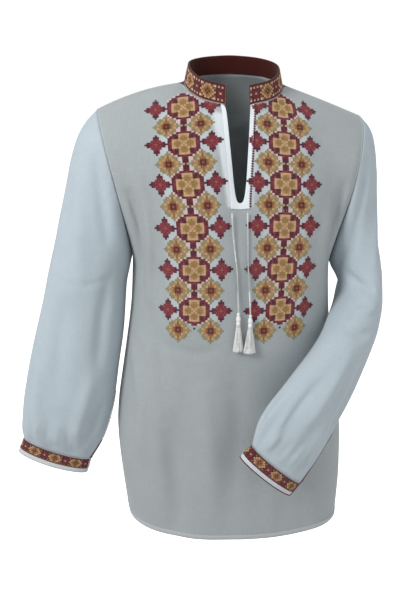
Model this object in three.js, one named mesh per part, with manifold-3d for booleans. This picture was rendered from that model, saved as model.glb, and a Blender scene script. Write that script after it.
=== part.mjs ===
// A man's folk shirt of white linen, worn: it hangs hollow from the neck and shoulders of
// whoever wears it. Millimetres. X runs to the viewer's right, the front faces -Y, +Z is up.
// The origin is the middle of the neck opening, level with the points where the shoulder
// seams meet the collar. Sleeves and cuffs are named for the wearer's own left and right.
import * as THREE from 'three';
import { mergeVertices } from 'three/addons/utils/BufferGeometryUtils.js';
import Module from 'manifold-3d';

const wasm = await Module();
wasm.setup();

// ---- driving dimensions -------------------------------------------------------------------
const WALL = 1.4; // one layer of cloth with the nap of its weave
const COLLAR_WALL = 2.2; // collar and cuffs are folded double
const SEAM = 0.3; // parting between two pieces that are sewn together
const HALF_SEAM = SEAM / 2;

const COLLAR = { height: 29, leanIn: 7, frontLean: 3 };
const CUFF = { height: 28, flare: 2 };
const NECK = { frontY: -74, frontZ: -30, backY: 60, backZ: 11 };
const SLIT = { bottomHalf: 3.5, roundHalf: 6.5, lowHalf: 8, topHalf: 19 };
const FACING = { width: 7, footHalf: 15, wall: 1 };
const SLEEVE_SLIT_GAP = 3.2;

// Each side of the yoke line: where the neck meets the shoulder seam, the shoulder's tip, how
// far the seam arches above a straight line, the foot of the armhole, and the hem's side.
const SIDES = {
  right: { side: -1, neckX: 79, neckZ: 1, tipX: 217, tipZ: -40, arch: 7, pitZ: -285, hemZ: -770 },
  left: { side: 1, neckX: 82, neckZ: -4, tipX: 212, tipZ: -54, arch: 1, pitZ: -289, hemZ: -790 },
};

// Cross sections of the body below the armholes, from the hem up.
const BODY_SECTIONS = [
  { name: 'hem', z: -780, sway: 9, halfWidth: 198, front: 116, back: 112, square: 2.4 },
  { name: 'seat', z: -670, sway: 5, halfWidth: 205, front: 116, back: 114, square: 2.4 },
  { name: 'hip', z: -575, sway: 1, halfWidth: 203, front: 114, back: 112, square: 2.4 },
  { name: 'waist', z: -465, sway: 0, halfWidth: 186, front: 112, back: 104, square: 2.4 },
  { name: 'ribs', z: -370, sway: 0, halfWidth: 172, front: 113, back: 104, square: 2.5 },
  { name: 'armpit', z: -285, sway: 0, halfWidth: 167, front: 117, back: 109, square: 2.6 },
];
const LOWER_ROWS = 11;

// How the cloth leaves the armpit section and arrives at the neckline or the shoulder seam,
// for a few places across the chest: 0 is the middle and 1 the armhole.
const CHEST_RISE = {
  front: [
    { across: 0, startOut: 20, startUp: 255, endIn: 85, endUp: 235 },
    { across: 0.2, startOut: 20, startUp: 265, endIn: 220, endUp: 190 },
    { across: 0.29, startOut: 20, startUp: 270, endIn: 300, endUp: 160 },
    { across: 0.38, startOut: 20, startUp: 275, endIn: 385, endUp: 130 },
    { across: 0.56, startOut: 22, startUp: 265, endIn: 345, endUp: 90 },
    { across: 0.7, startOut: 30, startUp: 255, endIn: 300, endUp: 65 },
    { across: 0.89, startOut: 75, startUp: 225, endIn: 295, endUp: 55 },
    { across: 0.98, startOut: 150, startUp: 190, endIn: 295, endUp: 55 },
    { across: 1, startOut: 270, startUp: 165, endIn: 290, endUp: 55 },
  ],
  back: [
    { across: 0, startOut: 40, startUp: 290, endIn: 150, endUp: 200 },
    { across: 0.2, startOut: 40, startUp: 285, endIn: 252, endUp: 165 },
    { across: 0.29, startOut: 40, startUp: 280, endIn: 328, endUp: 140 },
    { across: 0.38, startOut: 40, startUp: 275, endIn: 405, endUp: 115 },
    { across: 0.56, startOut: 42, startUp: 265, endIn: 362, endUp: 80 },
    { across: 0.7, startOut: 50, startUp: 255, endIn: 312, endUp: 60 },
    { across: 0.89, startOut: 90, startUp: 225, endIn: 308, endUp: 55 },
    { across: 0.98, startOut: 165, startUp: 190, endIn: 305, endUp: 55 },
    { across: 1, startOut: 285, startUp: 165, endIn: 300, endUp: 55 },
  ],
};
const NECK_ACROSS = 0.38; // the column that runs into the neck point
const FACING_ACROSS = 0.045; // the column at the facing's outer edge
const COLUMNS = [
  0, FACING_ACROSS, 0.12, 0.2, 0.29, NECK_ACROSS, 0.47, 0.56, 0.65, 0.74, 0.82, 0.89, 0.945, 0.98, 1,
];
// Rows between the armpit and the neckline, 0 to 1.
const FACING_FOOT = 0.395;
const SLIT_FOOT = 0.43;
const SLIT_ROUND = 0.455;
const UPPER_ROWS = [
  0, 0.1, 0.2, 0.3, FACING_FOOT, SLIT_FOOT, SLIT_ROUND, 0.53, 0.63, 0.73, 0.82, 0.91, 1,
];

// Soft folds in the body: negative depths are troughs. The middle of a fold moves by lean
// for each millimetre that it goes down.
const BODY_FOLDS = {
  front: [
    { name: 'under the right arm', x: -150, lean: 0.02, width: 22, depth: -9, top: -120, foot: -430 },
    { name: 'beside the right band', x: -132, lean: 0.01, width: 20, depth: 5, top: -300, foot: -790 },
    { name: 'right hip', x: -95, lean: -0.05, width: 26, depth: -5, top: -430, foot: -820 },
    { name: 'under the left arm', x: 158, lean: 0.05, width: 18, depth: -9, top: -110, foot: -330 },
    { name: 'left chest', x: 122, lean: -0.03, width: 18, depth: 5, top: -100, foot: -380 },
    { name: 'left hip', x: 120, lean: 0.04, width: 28, depth: -5, top: -480, foot: -820 },
    { name: 'middle of the hem', x: 15, lean: 0.03, width: 34, depth: 4, top: -520, foot: -830 },
  ],
  back: [
    { name: 'right blade', x: -120, lean: 0.06, width: 24, depth: -8, top: -110, foot: -420 },
    { name: 'left blade', x: 118, lean: -0.05, width: 24, depth: -8, top: -120, foot: -460 },
    { name: 'right of the spine', x: -62, lean: 0.03, width: 28, depth: 6, top: -260, foot: -810 },
    { name: 'spine', x: 6, lean: -0.02, width: 30, depth: -8, top: -330, foot: -830 },
    { name: 'left of the spine', x: 70, lean: -0.03, width: 28, depth: 6, top: -300, foot: -800 },
    { name: 'right hem', x: -130, lean: 0.02, width: 26, depth: -6, top: -520, foot: -830 },
    { name: 'left hem', x: 140, lean: 0, width: 26, depth: -6, top: -560, foot: -830 },
  ],
};

// Rings of each sleeve below the armhole: the ends of the ring's long axis, on the outer
// and the inner side of the arm, and its depth from the long axis to the front and back.
const SLEEVES = {
  right: [
    { outX: -242, outY: 0, outZ: -64, inX: -172, inY: 0, inZ: -299, depth: 76 },
    { outX: -257, outY: -2, outZ: -98, inX: -175, inY: -2, inZ: -312, depth: 74 },
    { outX: -270, outY: -3, outZ: -150, inX: -178, inY: -4, inZ: -328, depth: 71 },
    { outX: -286, outY: -4, outZ: -213, inX: -180, inY: -6, inZ: -350, depth: 68 },
    { outX: -303, outY: -5, outZ: -280, inX: -183, inY: -8, inZ: -380, depth: 65 },
    { outX: -322, outY: -6, outZ: -354, inX: -187, inY: -10, inZ: -415, depth: 62 },
    { outX: -341, outY: -7, outZ: -425, inX: -193, inY: -12, inZ: -456, depth: 60 },
    { outX: -356, outY: -8, outZ: -484, inX: -201, inY: -14, inZ: -508, depth: 58 },
    { outX: -367, outY: -9, outZ: -536, inX: -210, inY: -16, inZ: -560, depth: 54 },
    { outX: -372, outY: -10, outZ: -578, inX: -225, inY: -18, inZ: -606, depth: 46 },
    { outX: -374, outY: -11, outZ: -598, inX: -240, inY: -19, inZ: -633, depth: 35 },
    { outX: -372, outY: -12, outZ: -614, inX: -253, inY: -20, inZ: -657, depth: 23 },
  ],
  left: [
    { outX: 232, outY: 0, outZ: -72, inX: 172, inY: -2, inZ: -300, depth: 73 },
    { outX: 241, outY: 0, outZ: -102, inX: 176, inY: -7, inZ: -310, depth: 68 },
    { outX: 246, outY: 2, outZ: -158, inX: 181, inY: -18, inZ: -320, depth: 62 },
    { outX: 246, outY: 0, outZ: -222, inX: 185, inY: -38, inZ: -330, depth: 57 },
    { outX: 243, outY: -8, outZ: -288, inX: 186, inY: -66, inZ: -341, depth: 52 },
    { outX: 240, outY: -29, outZ: -345, inX: 176, inY: -104, inZ: -355, depth: 46 },
    { outX: 232, outY: -59, outZ: -398, inX: 152, inY: -137, inZ: -381, depth: 42 },
    { outX: 213, outY: -88, outZ: -446, inX: 122, inY: -155, inZ: -408, depth: 40 },
    { outX: 190, outY: -114, outZ: -491, inX: 91, inY: -165, inZ: -438, depth: 39 },
    { outX: 165, outY: -137, outZ: -537, inX: 56, inY: -171, inZ: -478, depth: 36 },
    { outX: 138, outY: -150, outZ: -586, inX: 32, inY: -171, inZ: -516, depth: 30 },
    { outX: 104, outY: -158, outZ: -641, inX: 19, inY: -166, inZ: -564, depth: 23 },
  ],
};
const SLEEVE_STEPS = 15;
const EVEN_FROM = 0.6; // from here on a sleeve's columns are evenly spaced round it
const GATHERS = { waves: 11, depth: 2.6, from: 0.76, peak: 0.93 };
const SLEEVE_SLIT_FROM = 0.87; // where the sleeve's slit begins, 0 to 1 along it
// Where the slit lies round the ring, in degrees from the outer side by the front.
const SLEEVE_SLIT_ANGLE = { right: 165, left: 15 };

// The two ties: each is a cord that hangs from the foot of the slit and ends in a tassel.
const CORD = { radius: 1.3, sides: 8, steps: 26 };
const TIES = {
  right: {
    spread: 3.6,
    route: [
      [-13.4, -119, -186.2], [-13.2, -119.6, -194], [-12.6, -120.2, -205], [-11.8, -120.8, -216],
      [-10.7, -121, -227], [-9.4, -121, -238], [-8, -120.7, -249], [-6.6, -120.2, -260],
      [-5.4, -119.8, -271], [-4.3, -119.3, -282], [-3.4, -118.9, -293], [-2.6, -118.6, -304],
      [-2, -118.5, -315], [-1.5, -118.4, -326], [-1, -118.3, -337], [-0.7, -118.3, -349],
    ],
  },
  left: {
    spread: 4.6,
    route: [
      [10.6, -119, -186.2], [10.8, -119.6, -195], [11, -120.2, -207], [11.3, -120.7, -219],
      [11.7, -120.9, -231], [12.1, -120.8, -243], [12.5, -120.4, -255], [13, -120, -267],
      [13.7, -119.6, -279], [14.5, -119.2, -291], [15.4, -119, -303], [16.3, -118.9, -315],
      [17.2, -118.8, -327], [18, -118.8, -339], [18.7, -118.8, -353],
    ],
  },
};
// The head of a tassel, from the cord down: radius and depth below the cord's end.
const TASSEL_HEAD = [
  [0, 0], [1.7, -0.2], [2.5, -1.6], [2.5, -3], [1.7, -4.4], [2.9, -6.4], [3.8, -9.4], [3.7, -12.6],
  [2.8, -14.8], [3.4, -16.4], [3.5, -19.4], [3, -21], [0, -21],
];
const TASSEL = {
  length: 69, rootDepth: 18, headSides: 12, strandTop: 0.5, strandFoot: 0.95, backToFront: 1.3,
};
const STRAND_ROWS = [
  { y: -2.1, count: 3 },
  { y: -1.05, count: 4 },
  { y: 0, count: 5 },
  { y: 1.05, count: 4 },
  { y: 2.1, count: 3 },
];
const STRAND_PITCH = 1.15;

const place = (x, y, z) => new THREE.Vector3(x, y, z);
const mix = (a, b, f) => a + (b - a) * f;
const clamp01 = (f) => Math.min(1, Math.max(0, f));
const smooth = (f) => clamp01(f) ** 2 * (3 - 2 * clamp01(f));

// ---- curves through short tables ------------------------------------------------------------
function spline(values, f) {
  const last = values.length - 1;
  const at = clamp01(f) * last;
  const i = Math.min(Math.floor(at), last - 1);
  const s = at - i;
  const [p0, p1] = [values[Math.max(i - 1, 0)], values[i]];
  const [p2, p3] = [values[i + 1], values[Math.min(i + 2, last)]];
  const slopeA = (p2 - p0) / 2;
  const slopeB = (p3 - p1) / 2;
  return (2 * s ** 3 - 3 * s ** 2 + 1) * p1 + (s ** 3 - 2 * s ** 2 + s) * slopeA
    + (3 * s ** 2 - 2 * s ** 3) * p2 + (s ** 3 - s ** 2) * slopeB;
}

function rowAt(table, f) {
  const row = {};
  for (const key of Object.keys(table[0])) {
    if (typeof table[0][key] === 'number') row[key] = spline(table.map((entry) => entry[key]), f);
  }
  return row;
}

function between(table, key, value) {
  const after = Math.max(1, table.findIndex((row) => row[key] >= value));
  const [a, b] = [table[after - 1], table[after]];
  const f = (value - a[key]) / (b[key] - a[key]);
  return Object.fromEntries(Object.keys(a).map((name) => [name, mix(a[name], b[name], f)]));
}

// ---- the body --------------------------------------------------------------------------------
function slitHalf(v) {
  if (v <= SLIT_FOOT) return SLIT.bottomHalf;
  if (v <= SLIT_ROUND) return SLIT.roundHalf;
  return mix(SLIT.lowHalf, SLIT.topHalf, (v - SLIT_ROUND) / (1 - SLIT_ROUND));
}

function sectionPoint(face, yoke, across, down) {
  const section = rowAt(BODY_SECTIONS, 1 - down);
  const depth = (1 - across ** section.square) ** (1 / section.square);
  const reach = face < 0 ? section.front : section.back;
  const halfWidth = mix(SLIT.bottomHalf, section.halfWidth, across);
  const sideDrop = mix(yoke.pitZ - BODY_SECTIONS.at(-1).z, yoke.hemZ - BODY_SECTIONS[0].z, down);
  const x = section.sway + yoke.side * halfWidth;
  return place(x, face * reach * depth, section.z + sideDrop * across ** 2);
}

function topPoint(face, yoke, across) {
  if (across > NECK_ACROSS) {
    const q = (across - NECK_ACROSS) / (1 - NECK_ACROSS);
    const rise = yoke.arch * 4 * q * (1 - q);
    return place(yoke.side * mix(yoke.neckX, yoke.tipX, q), 0, mix(yoke.neckZ, yoke.tipZ, q) + rise);
  }
  const startHalf = face < 0 ? SLIT.topHalf : SLIT.bottomHalf;
  const start = Math.asin(startHalf / yoke.neckX);
  const angle = mix(start, Math.PI / 2, across / NECK_ACROSS);
  const [midY, midZ] = face < 0 ? [NECK.frontY, NECK.frontZ] : [NECK.backY, NECK.backZ];
  return place(
    yoke.side * yoke.neckX * Math.sin(angle),
    midY * Math.cos(angle),
    mix(yoke.neckZ, midZ, Math.cos(angle)),
  );
}

function chestPoint(face, yoke, across, v) {
  const start = sectionPoint(face, yoke, across, 0);
  const end = topPoint(face, yoke, across);
  const rise = between(face < 0 ? CHEST_RISE.front : CHEST_RISE.back, 'across', across);
  const a = 2 * v ** 3 - 3 * v ** 2 + 1;
  const b = v ** 3 - 2 * v ** 2 + v;
  const c = 3 * v ** 2 - 2 * v ** 3;
  const d = v ** 3 - v ** 2;
  const half = face < 0 ? slitHalf(v) : SLIT.bottomHalf;
  const startX = mix(half, Math.abs(start.x), across > 0 ? 1 : 0);
  const facingEdge = Math.max(half + FACING.width, FACING.footHalf);
  const outer = across === FACING_ACROSS ? facingEdge : mix(startX, Math.abs(end.x), c);
  return place(
    yoke.side * (across > 0 ? outer : half),
    a * start.y + b * face * rise.startOut + c * end.y - d * face * rise.endIn,
    a * start.z + b * rise.startUp + c * end.z + d * rise.endUp,
  );
}

function foldDepth(folds, point) {
  let sum = 0;
  for (const fold of folds) {
    const middle = fold.x + fold.lean * (fold.top - point.z);
    const along = (fold.top - point.z) / (fold.top - fold.foot);
    if (along <= 0 || along >= 1) continue;
    sum += fold.depth * Math.sin(Math.PI * along) * Math.exp(-(((point.x - middle) / fold.width) ** 2));
  }
  return sum;
}

function bodyGrid(face) {
  const folds = face < 0 ? BODY_FOLDS.front : BODY_FOLDS.back;
  const half = (yoke, pointAt) => COLUMNS.map((across) => {
    const point = pointAt(face, yoke, across);
    point.y += face * (HALF_SEAM + foldDepth(folds, point) * smooth((1 - across) / 0.18));
    return point;
  });
  const row = (pointAt) => {
    const cells = [...half(SIDES.right, pointAt).reverse(), ...half(SIDES.left, pointAt)];
    return face < 0 ? cells : cells.reverse();
  };
  const rows = [];
  for (let i = 0; i < LOWER_ROWS; i += 1) {
    rows.push(row((f, yoke, across) => sectionPoint(f, yoke, across, 1 - i / LOWER_ROWS)));
  }
  for (const v of UPPER_ROWS) rows.push(row((f, yoke, across) => chestPoint(f, yoke, across, v)));
  return rows;
}

// ---- cloth walls -----------------------------------------------------------------------------
// The inner face of a grid of outer points. On an edge that meets another piece, flat gives
// the direction that the wall must not lean towards.
function innerFace(grid, wall, { closed = false, sign = 1, flat = () => null } = {}) {
  const rows = grid.length;
  const columns = grid[0].length;
  return grid.map((row, i) => row.map((point, j) => {
    const left = closed ? row[(j + columns - 1) % columns] : row[Math.max(j - 1, 0)];
    const right = closed ? row[(j + 1) % columns] : row[Math.min(j + 1, columns - 1)];
    const down = grid[Math.max(i - 1, 0)][j];
    const up = grid[Math.min(i + 1, rows - 1)][j];
    const normal = right.clone().sub(left).cross(up.clone().sub(down)).multiplyScalar(sign);
    const banned = flat(i, j);
    if (banned) normal.addScaledVector(banned, -normal.dot(banned) / banned.lengthSq());
    return point.clone().addScaledVector(normal.normalize(), -wall);
  }));
}

// A closed wall between an outer and an inner grid, without the cells that skip names.
function clothWall(outer, inner, { closed = false, skip = () => false } = {}) {
  const rows = outer.length;
  const columns = outer[0].length;
  const cellColumns = closed ? columns : columns - 1;
  const position = [...outer.flat(), ...inner.flat()].flatMap((point) => point.toArray());
  const index = [];
  const id = (layer, i, j) => layer * rows * columns + i * columns + (j % columns);
  const there = (i, j) => {
    if (i < 0 || i >= rows - 1) return false;
    const column = closed ? (j + cellColumns) % cellColumns : j;
    return column >= 0 && column < cellColumns && !skip(i, column);
  };
  const quad = (a, b, c, d) => index.push(a, b, c, a, c, d);
  for (let i = 0; i < rows - 1; i += 1) {
    for (let j = 0; j < cellColumns; j += 1) {
      if (!there(i, j)) continue;
      const [a, b, c, d] = [[i, j], [i, j + 1], [i + 1, j + 1], [i + 1, j]];
      const outerPoint = ([row, column]) => outer[row][column % columns];
      const longer = outerPoint(a).distanceTo(outerPoint(c)) > outerPoint(b).distanceTo(outerPoint(d));
      const [p, q, r, s] = longer ? [b, c, d, a] : [a, b, c, d];
      quad(id(0, ...p), id(0, ...q), id(0, ...r), id(0, ...s));
      index.push(id(1, ...p), id(1, ...r), id(1, ...q), id(1, ...p), id(1, ...s), id(1, ...r));
      const sides = [[i - 1, j, a, b], [i, j + 1, b, c], [i + 1, j, c, d], [i, j - 1, d, a]];
      for (const [ni, nj, from, to] of sides) {
        if (!there(ni, nj)) quad(id(1, ...from), id(1, ...to), id(0, ...to), id(0, ...from));
      }
    }
  }
  return facingOut(position, index);
}

function facingOut(position, index) {
  let volume = 0;
  const corner = (k) => place(...position.slice(3 * k, 3 * k + 3));
  for (let k = 0; k < index.length; k += 3) {
    const [a, b, c] = [corner(index[k]), corner(index[k + 1]), corner(index[k + 2])];
    volume += a.dot(b.cross(c));
  }
  if (volume < 0) {
    for (let k = 0; k < index.length; k += 3) [index[k], index[k + 1]] = [index[k + 1], index[k]];
  }
  const geometry = new THREE.BufferGeometry();
  geometry.setAttribute('position', new THREE.Float32BufferAttribute(position, 3));
  geometry.setIndex(index);
  return geometry;
}

const middleOf = (a, b) => ({
  outer: a.outer.clone().lerp(b.outer, 0.5),
  inner: a.inner.clone().lerp(b.inner, 0.5),
});

const linen = (color = '#c9cfd1') => (
  new THREE.MeshStandardMaterial({ color, roughness: 0.85, metalness: 0 })
);
const shirt = new THREE.Group();

function add(name, geometry, material = linen()) {
  const mesh = new THREE.Mesh(geometry, material);
  mesh.name = name;
  shirt.add(mesh);
  return mesh;
}

// ---- front and back --------------------------------------------------------------------------
const LAST_COLUMN = 2 * COLUMNS.length - 1;
const MIDDLE = COLUMNS.length - 1; // the cell column that the slit is cut from
const NECK_COLUMNS = COLUMNS.indexOf(NECK_ACROSS);
const PIT_ROW = LOWER_ROWS;
const TOP_ROW = LOWER_ROWS + UPPER_ROWS.length - 1;
const SLIT_ROW = LOWER_ROWS + UPPER_ROWS.indexOf(SLIT_FOOT);
const FACING_ROW = LOWER_ROWS + UPPER_ROWS.indexOf(FACING_FOOT);

function seamNormal(i, j) {
  const sideSeam = (j === 0 || j === LAST_COLUMN) && i <= PIT_ROW;
  const fromMiddle = Math.abs(j - LAST_COLUMN / 2) - 0.5;
  const shoulderSeam = i === TOP_ROW && fromMiddle >= NECK_COLUMNS;
  return sideSeam || shoulderSeam ? place(0, 1, 0) : null;
}

function panel(face) {
  const outer = bodyGrid(face);
  return { outer, inner: innerFace(outer, WALL, { flat: seamNormal }) };
}

const front = panel(-1);
const back = panel(1);
add('front', clothWall(front.outer, front.inner, { skip: (i, j) => j === MIDDLE && i >= SLIT_ROW }));
add('back', clothWall(back.outer, back.inner));

// ---- facing round the slit -------------------------------------------------------------------
function slitFacing() {
  const lift = (distance) => front.outer.slice(FACING_ROW).map((row, i) => (
    row.slice(MIDDLE - 1, MIDDLE + 3).map((point, j) => {
      const inner = front.inner[FACING_ROW + i][MIDDLE - 1 + j];
      return point.clone().addScaledVector(point.clone().sub(inner).normalize(), distance);
    })
  ));
  const outer = lift(SEAM + FACING.wall);
  const inner = lift(SEAM);
  return clothWall(outer, inner, { skip: (i, j) => j === 1 && FACING_ROW + i >= SLIT_ROW });
}
add('slit_facing', slitFacing(), linen('#dfe4e6'));

// ---- collar ----------------------------------------------------------------------------------
const rimPoint = (piece, i, j) => ({
  outer: piece.outer[i][j].clone(),
  inner: piece.inner[i][j].clone(),
});

function neckRim() {
  const rim = [];
  const frontLast = MIDDLE + 1 + NECK_COLUMNS;
  const backFirst = LAST_COLUMN - frontLast;
  const backLast = LAST_COLUMN - backFirst;
  for (let j = MIDDLE + 1; j < frontLast; j += 1) rim.push(rimPoint(front, TOP_ROW, j));
  rim.push(middleOf(rimPoint(front, TOP_ROW, frontLast), rimPoint(back, TOP_ROW, backFirst)));
  for (let j = backFirst + 1; j < backLast; j += 1) rim.push(rimPoint(back, TOP_ROW, j));
  rim.push(middleOf(rimPoint(front, TOP_ROW, MIDDLE - NECK_COLUMNS), rimPoint(back, TOP_ROW, backLast)));
  for (let j = MIDDLE - NECK_COLUMNS + 1; j <= MIDDLE; j += 1) rim.push(rimPoint(front, TOP_ROW, j));
  return rim;
}

function collar() {
  const foot = neckRim().map(({ outer, inner }) => {
    const inward = place(-outer.x, -outer.y, 0).normalize();
    const off = inward.multiplyScalar(SEAM).add(place(0, 0, SEAM));
    return { outer: outer.add(off), inner: inner.add(off) };
  });
  const bands = [0.12, 0.5, 1];
  const outer = [foot.map((point) => point.outer)];
  for (const band of bands) {
    outer.push(foot.map(({ outer: point }) => {
      const radial = place(point.x, point.y, 0).normalize();
      const forward = clamp01(-radial.y);
      const lean = mix(COLLAR.leanIn, COLLAR.frontLean, forward);
      return point.clone().addScaledVector(radial, -lean * band).add(place(0, 0, COLLAR.height * band));
    }));
  }
  const inner = innerFace(outer, COLLAR_WALL);
  inner[0] = foot.map((point) => point.inner);
  return clothWall(outer, inner);
}
add('collar', collar(), linen('#8a5a4c'));

// ---- sleeves and cuffs -----------------------------------------------------------------------
// The armhole, from the shoulder's tip down the front and up the back, with a point between
// every two of the body's own.
function armholeRim(side) {
  const frontColumn = side < 0 ? 0 : LAST_COLUMN;
  const backColumn = LAST_COLUMN - frontColumn;
  const rim = [middleOf(rimPoint(front, TOP_ROW, frontColumn), rimPoint(back, TOP_ROW, backColumn))];
  for (let i = TOP_ROW - 1; i > PIT_ROW; i -= 1) rim.push(rimPoint(front, i, frontColumn));
  rim.push(middleOf(rimPoint(front, PIT_ROW, frontColumn), rimPoint(back, PIT_ROW, backColumn)));
  for (let i = PIT_ROW + 1; i < TOP_ROW; i += 1) rim.push(rimPoint(back, i, backColumn));
  const seam = rim.map((here, k) => {
    const along = rim[(k + 1) % rim.length].outer.clone().sub(rim.at(k - 1).outer);
    const normal = here.outer.clone().sub(here.inner).normalize();
    const free = along.cross(normal).normalize().multiplyScalar(-side);
    const outer = here.outer.clone().addScaledVector(normal, SEAM).addScaledVector(free, SEAM);
    return { outer, free };
  });
  const doubled = seam.flatMap((here, k) => {
    const next = seam[(k + 1) % seam.length];
    const outer = here.outer.clone().lerp(next.outer, 0.5);
    return [here, { outer, free: here.free.clone().add(next.free).normalize() }];
  });
  return withTurns(doubled);
}

// How far round the armhole each point lies, measured along its edge in each half.
function withTurns(rim) {
  const half = rim.length / 2;
  const step = rim.map((here, k) => here.outer.distanceTo(rim[(k + 1) % rim.length].outer));
  const sum = (from, to) => step.slice(from, to).reduce((total, length) => total + length, 0);
  return rim.map((here, k) => {
    const first = k < half ? 0 : half;
    return { ...here, turn: Math.PI * (first / half + sum(first, k) / sum(first, first + half)) };
  });
}

// The inner face of a sleeve's first ring: it never leans back over the body's edge.
function firstRing(armhole, leaning) {
  return armhole.map(({ outer, free }, k) => {
    const inward = leaning[k].clone().sub(outer);
    inward.addScaledVector(free, -Math.min(0, inward.dot(free)));
    return outer.clone().addScaledVector(inward.normalize(), WALL);
  });
}

function ringFrame(ring) {
  const out = place(ring.outX, ring.outY, ring.outZ);
  const inn = place(ring.inX, ring.inY, ring.inZ);
  return { centre: out.clone().add(inn).multiplyScalar(0.5), long: out.sub(inn).multiplyScalar(0.5) };
}

function sleevePoint(table, side, armhole, squeeze, along, k) {
  const even = (k / armhole.length) * 2 * Math.PI;
  const turn = mix(armhole[k].turn, even, smooth(along / EVEN_FROM));
  const step = 1 / table.length;
  const down = (along - step) / (1 - step);
  const ring = rowAt(table, down);
  const { centre, long } = ringFrame(ring);
  const ahead = ringFrame(rowAt(table, down + 0.02)).centre;
  const behind = ringFrame(rowAt(table, down - 0.02)).centre;
  const axis = ahead.sub(behind).normalize();
  const deep = long.clone().cross(axis).normalize().multiplyScalar(-side);
  const angle = squeeze(turn, along);
  const risen = smooth((along - GATHERS.from) / (GATHERS.peak - GATHERS.from));
  const held = smooth((1 - along) / (1 - GATHERS.peak));
  const gather = GATHERS.depth * Math.cos(GATHERS.waves * even) * risen * held;
  const point = centre.clone()
    .addScaledVector(long, Math.cos(angle) * (1 + gather / long.length()))
    .addScaledVector(deep, Math.sin(angle) * (ring.depth + gather));
  if (along >= step) return point;
  return armhole[k].outer.clone().lerp(point, along / step);
}

// Brings the two columns beside the slit to within the slit's gap of each other.
function slitSqueeze(count, column, half) {
  const lower = (column / count) * 2 * Math.PI;
  const upper = ((column + 1) / count) * 2 * Math.PI;
  const middle = (lower + upper) / 2;
  return (turn, along) => {
    const open = smooth((along - SLEEVE_SLIT_FROM + 0.06) / 0.06);
    const offset = turn - middle;
    const tight = Math.abs(Math.abs(offset) - (upper - lower) / 2) < 1e-6;
    return tight ? middle + Math.sign(offset) * mix((upper - lower) / 2, half, open) : turn;
  };
}

function sleeve(name, yoke) {
  const table = SLEEVES[name];
  const armhole = armholeRim(yoke.side);
  const count = armhole.length;
  const slitColumn = Math.floor((SLEEVE_SLIT_ANGLE[name] / 360) * count);
  const end = table.at(-1);
  const { centre, long } = ringFrame(end);
  const reach = mix(end.depth, long.length(), 0.3);
  const squeeze = slitSqueeze(count, slitColumn, SLEEVE_SLIT_GAP / 2 / reach);
  const grid = [];
  for (let i = 0; i <= SLEEVE_STEPS; i += 1) {
    const along = i / SLEEVE_STEPS;
    grid.push(armhole.map((_, k) => sleevePoint(table, yoke.side, armhole, squeeze, along, k)));
  }
  const square = centre.clone().sub(ringFrame(table.at(-2)).centre);
  square.addScaledVector(long, -square.dot(long) / long.lengthSq()).normalize();
  const inner = innerFace(grid, WALL, {
    closed: true,
    sign: yoke.side,
    flat: (i) => (i === SLEEVE_STEPS ? square : null),
  });
  inner[0] = firstRing(armhole, inner[0]);
  const slitRow = Math.round(SLEEVE_SLIT_FROM * SLEEVE_STEPS);
  const skip = (i, j) => j === slitColumn && i >= slitRow;
  add(`sleeve_${name}`, clothWall(grid, inner, { closed: true, skip }));
  cuff(name, yoke.side, grid.at(-1), square, slitColumn);
}

function cuff(name, side, ring, axis, slitColumn) {
  const count = ring.length;
  const open = ring.map((_, k) => ring[(slitColumn + 1 + k) % count]);
  const centre = open.reduce((sum, point) => sum.add(point), place(0, 0, 0)).divideScalar(count);
  const outer = [0, 0.5, 1].map((f) => open.map((point) => {
    const outward = point.clone().sub(centre).normalize();
    const down = point.clone().addScaledVector(axis, SEAM + f * CUFF.height);
    return down.addScaledVector(outward, CUFF.flare * f);
  }));
  const inner = innerFace(outer, COLLAR_WALL, { sign: side, flat: (i) => (i === 0 ? axis : null) });
  add(`cuff_${name}`, clothWall(outer, inner), linen('#8a5a4c'));
}

sleeve('right', SIDES.right);
sleeve('left', SIDES.left);

// ---- ties ------------------------------------------------------------------------------------
function merged(geometry) {
  const bare = geometry.index ? geometry : geometry.clone();
  bare.deleteAttribute('normal');
  bare.deleteAttribute('uv');
  return mergeVertices(bare, 1e-4);
}

function toSolid(geometry) {
  const { index, attributes } = merged(geometry);
  const vertProperties = attributes.position.array;
  const triVerts = new Uint32Array(index.array);
  return new wasm.Manifold(new wasm.Mesh({ numProp: 3, vertProperties, triVerts }));
}

function toGeometry(solid) {
  const { vertProperties, triVerts } = solid.getMesh();
  const geometry = new THREE.BufferGeometry();
  geometry.setAttribute('position', new THREE.BufferAttribute(vertProperties, 3));
  geometry.setIndex(new THREE.BufferAttribute(triVerts, 1));
  return geometry;
}

function cord(route) {
  const path = new THREE.CatmullRomCurve3(route.map((point) => place(...point)));
  const section = new THREE.Shape();
  for (let k = 0; k < CORD.sides; k += 1) {
    const turn = (2 * Math.PI * k) / CORD.sides;
    const corner = [CORD.radius * Math.cos(turn), CORD.radius * Math.sin(turn)];
    if (k === 0) section.moveTo(...corner);
    else section.lineTo(...corner);
  }
  return new THREE.ExtrudeGeometry(section, { steps: CORD.steps, extrudePath: path });
}

function strand(from, to) {
  const length = from.distanceTo(to);
  const geometry = new THREE.CylinderGeometry(TASSEL.strandTop, TASSEL.strandFoot, length, 3, 1);
  const down = to.clone().sub(from).normalize();
  geometry.applyQuaternion(new THREE.Quaternion().setFromUnitVectors(place(0, -1, 0), down));
  const middle = from.clone().lerp(to, 0.5);
  return geometry.translate(middle.x, middle.y, middle.z);
}

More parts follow.
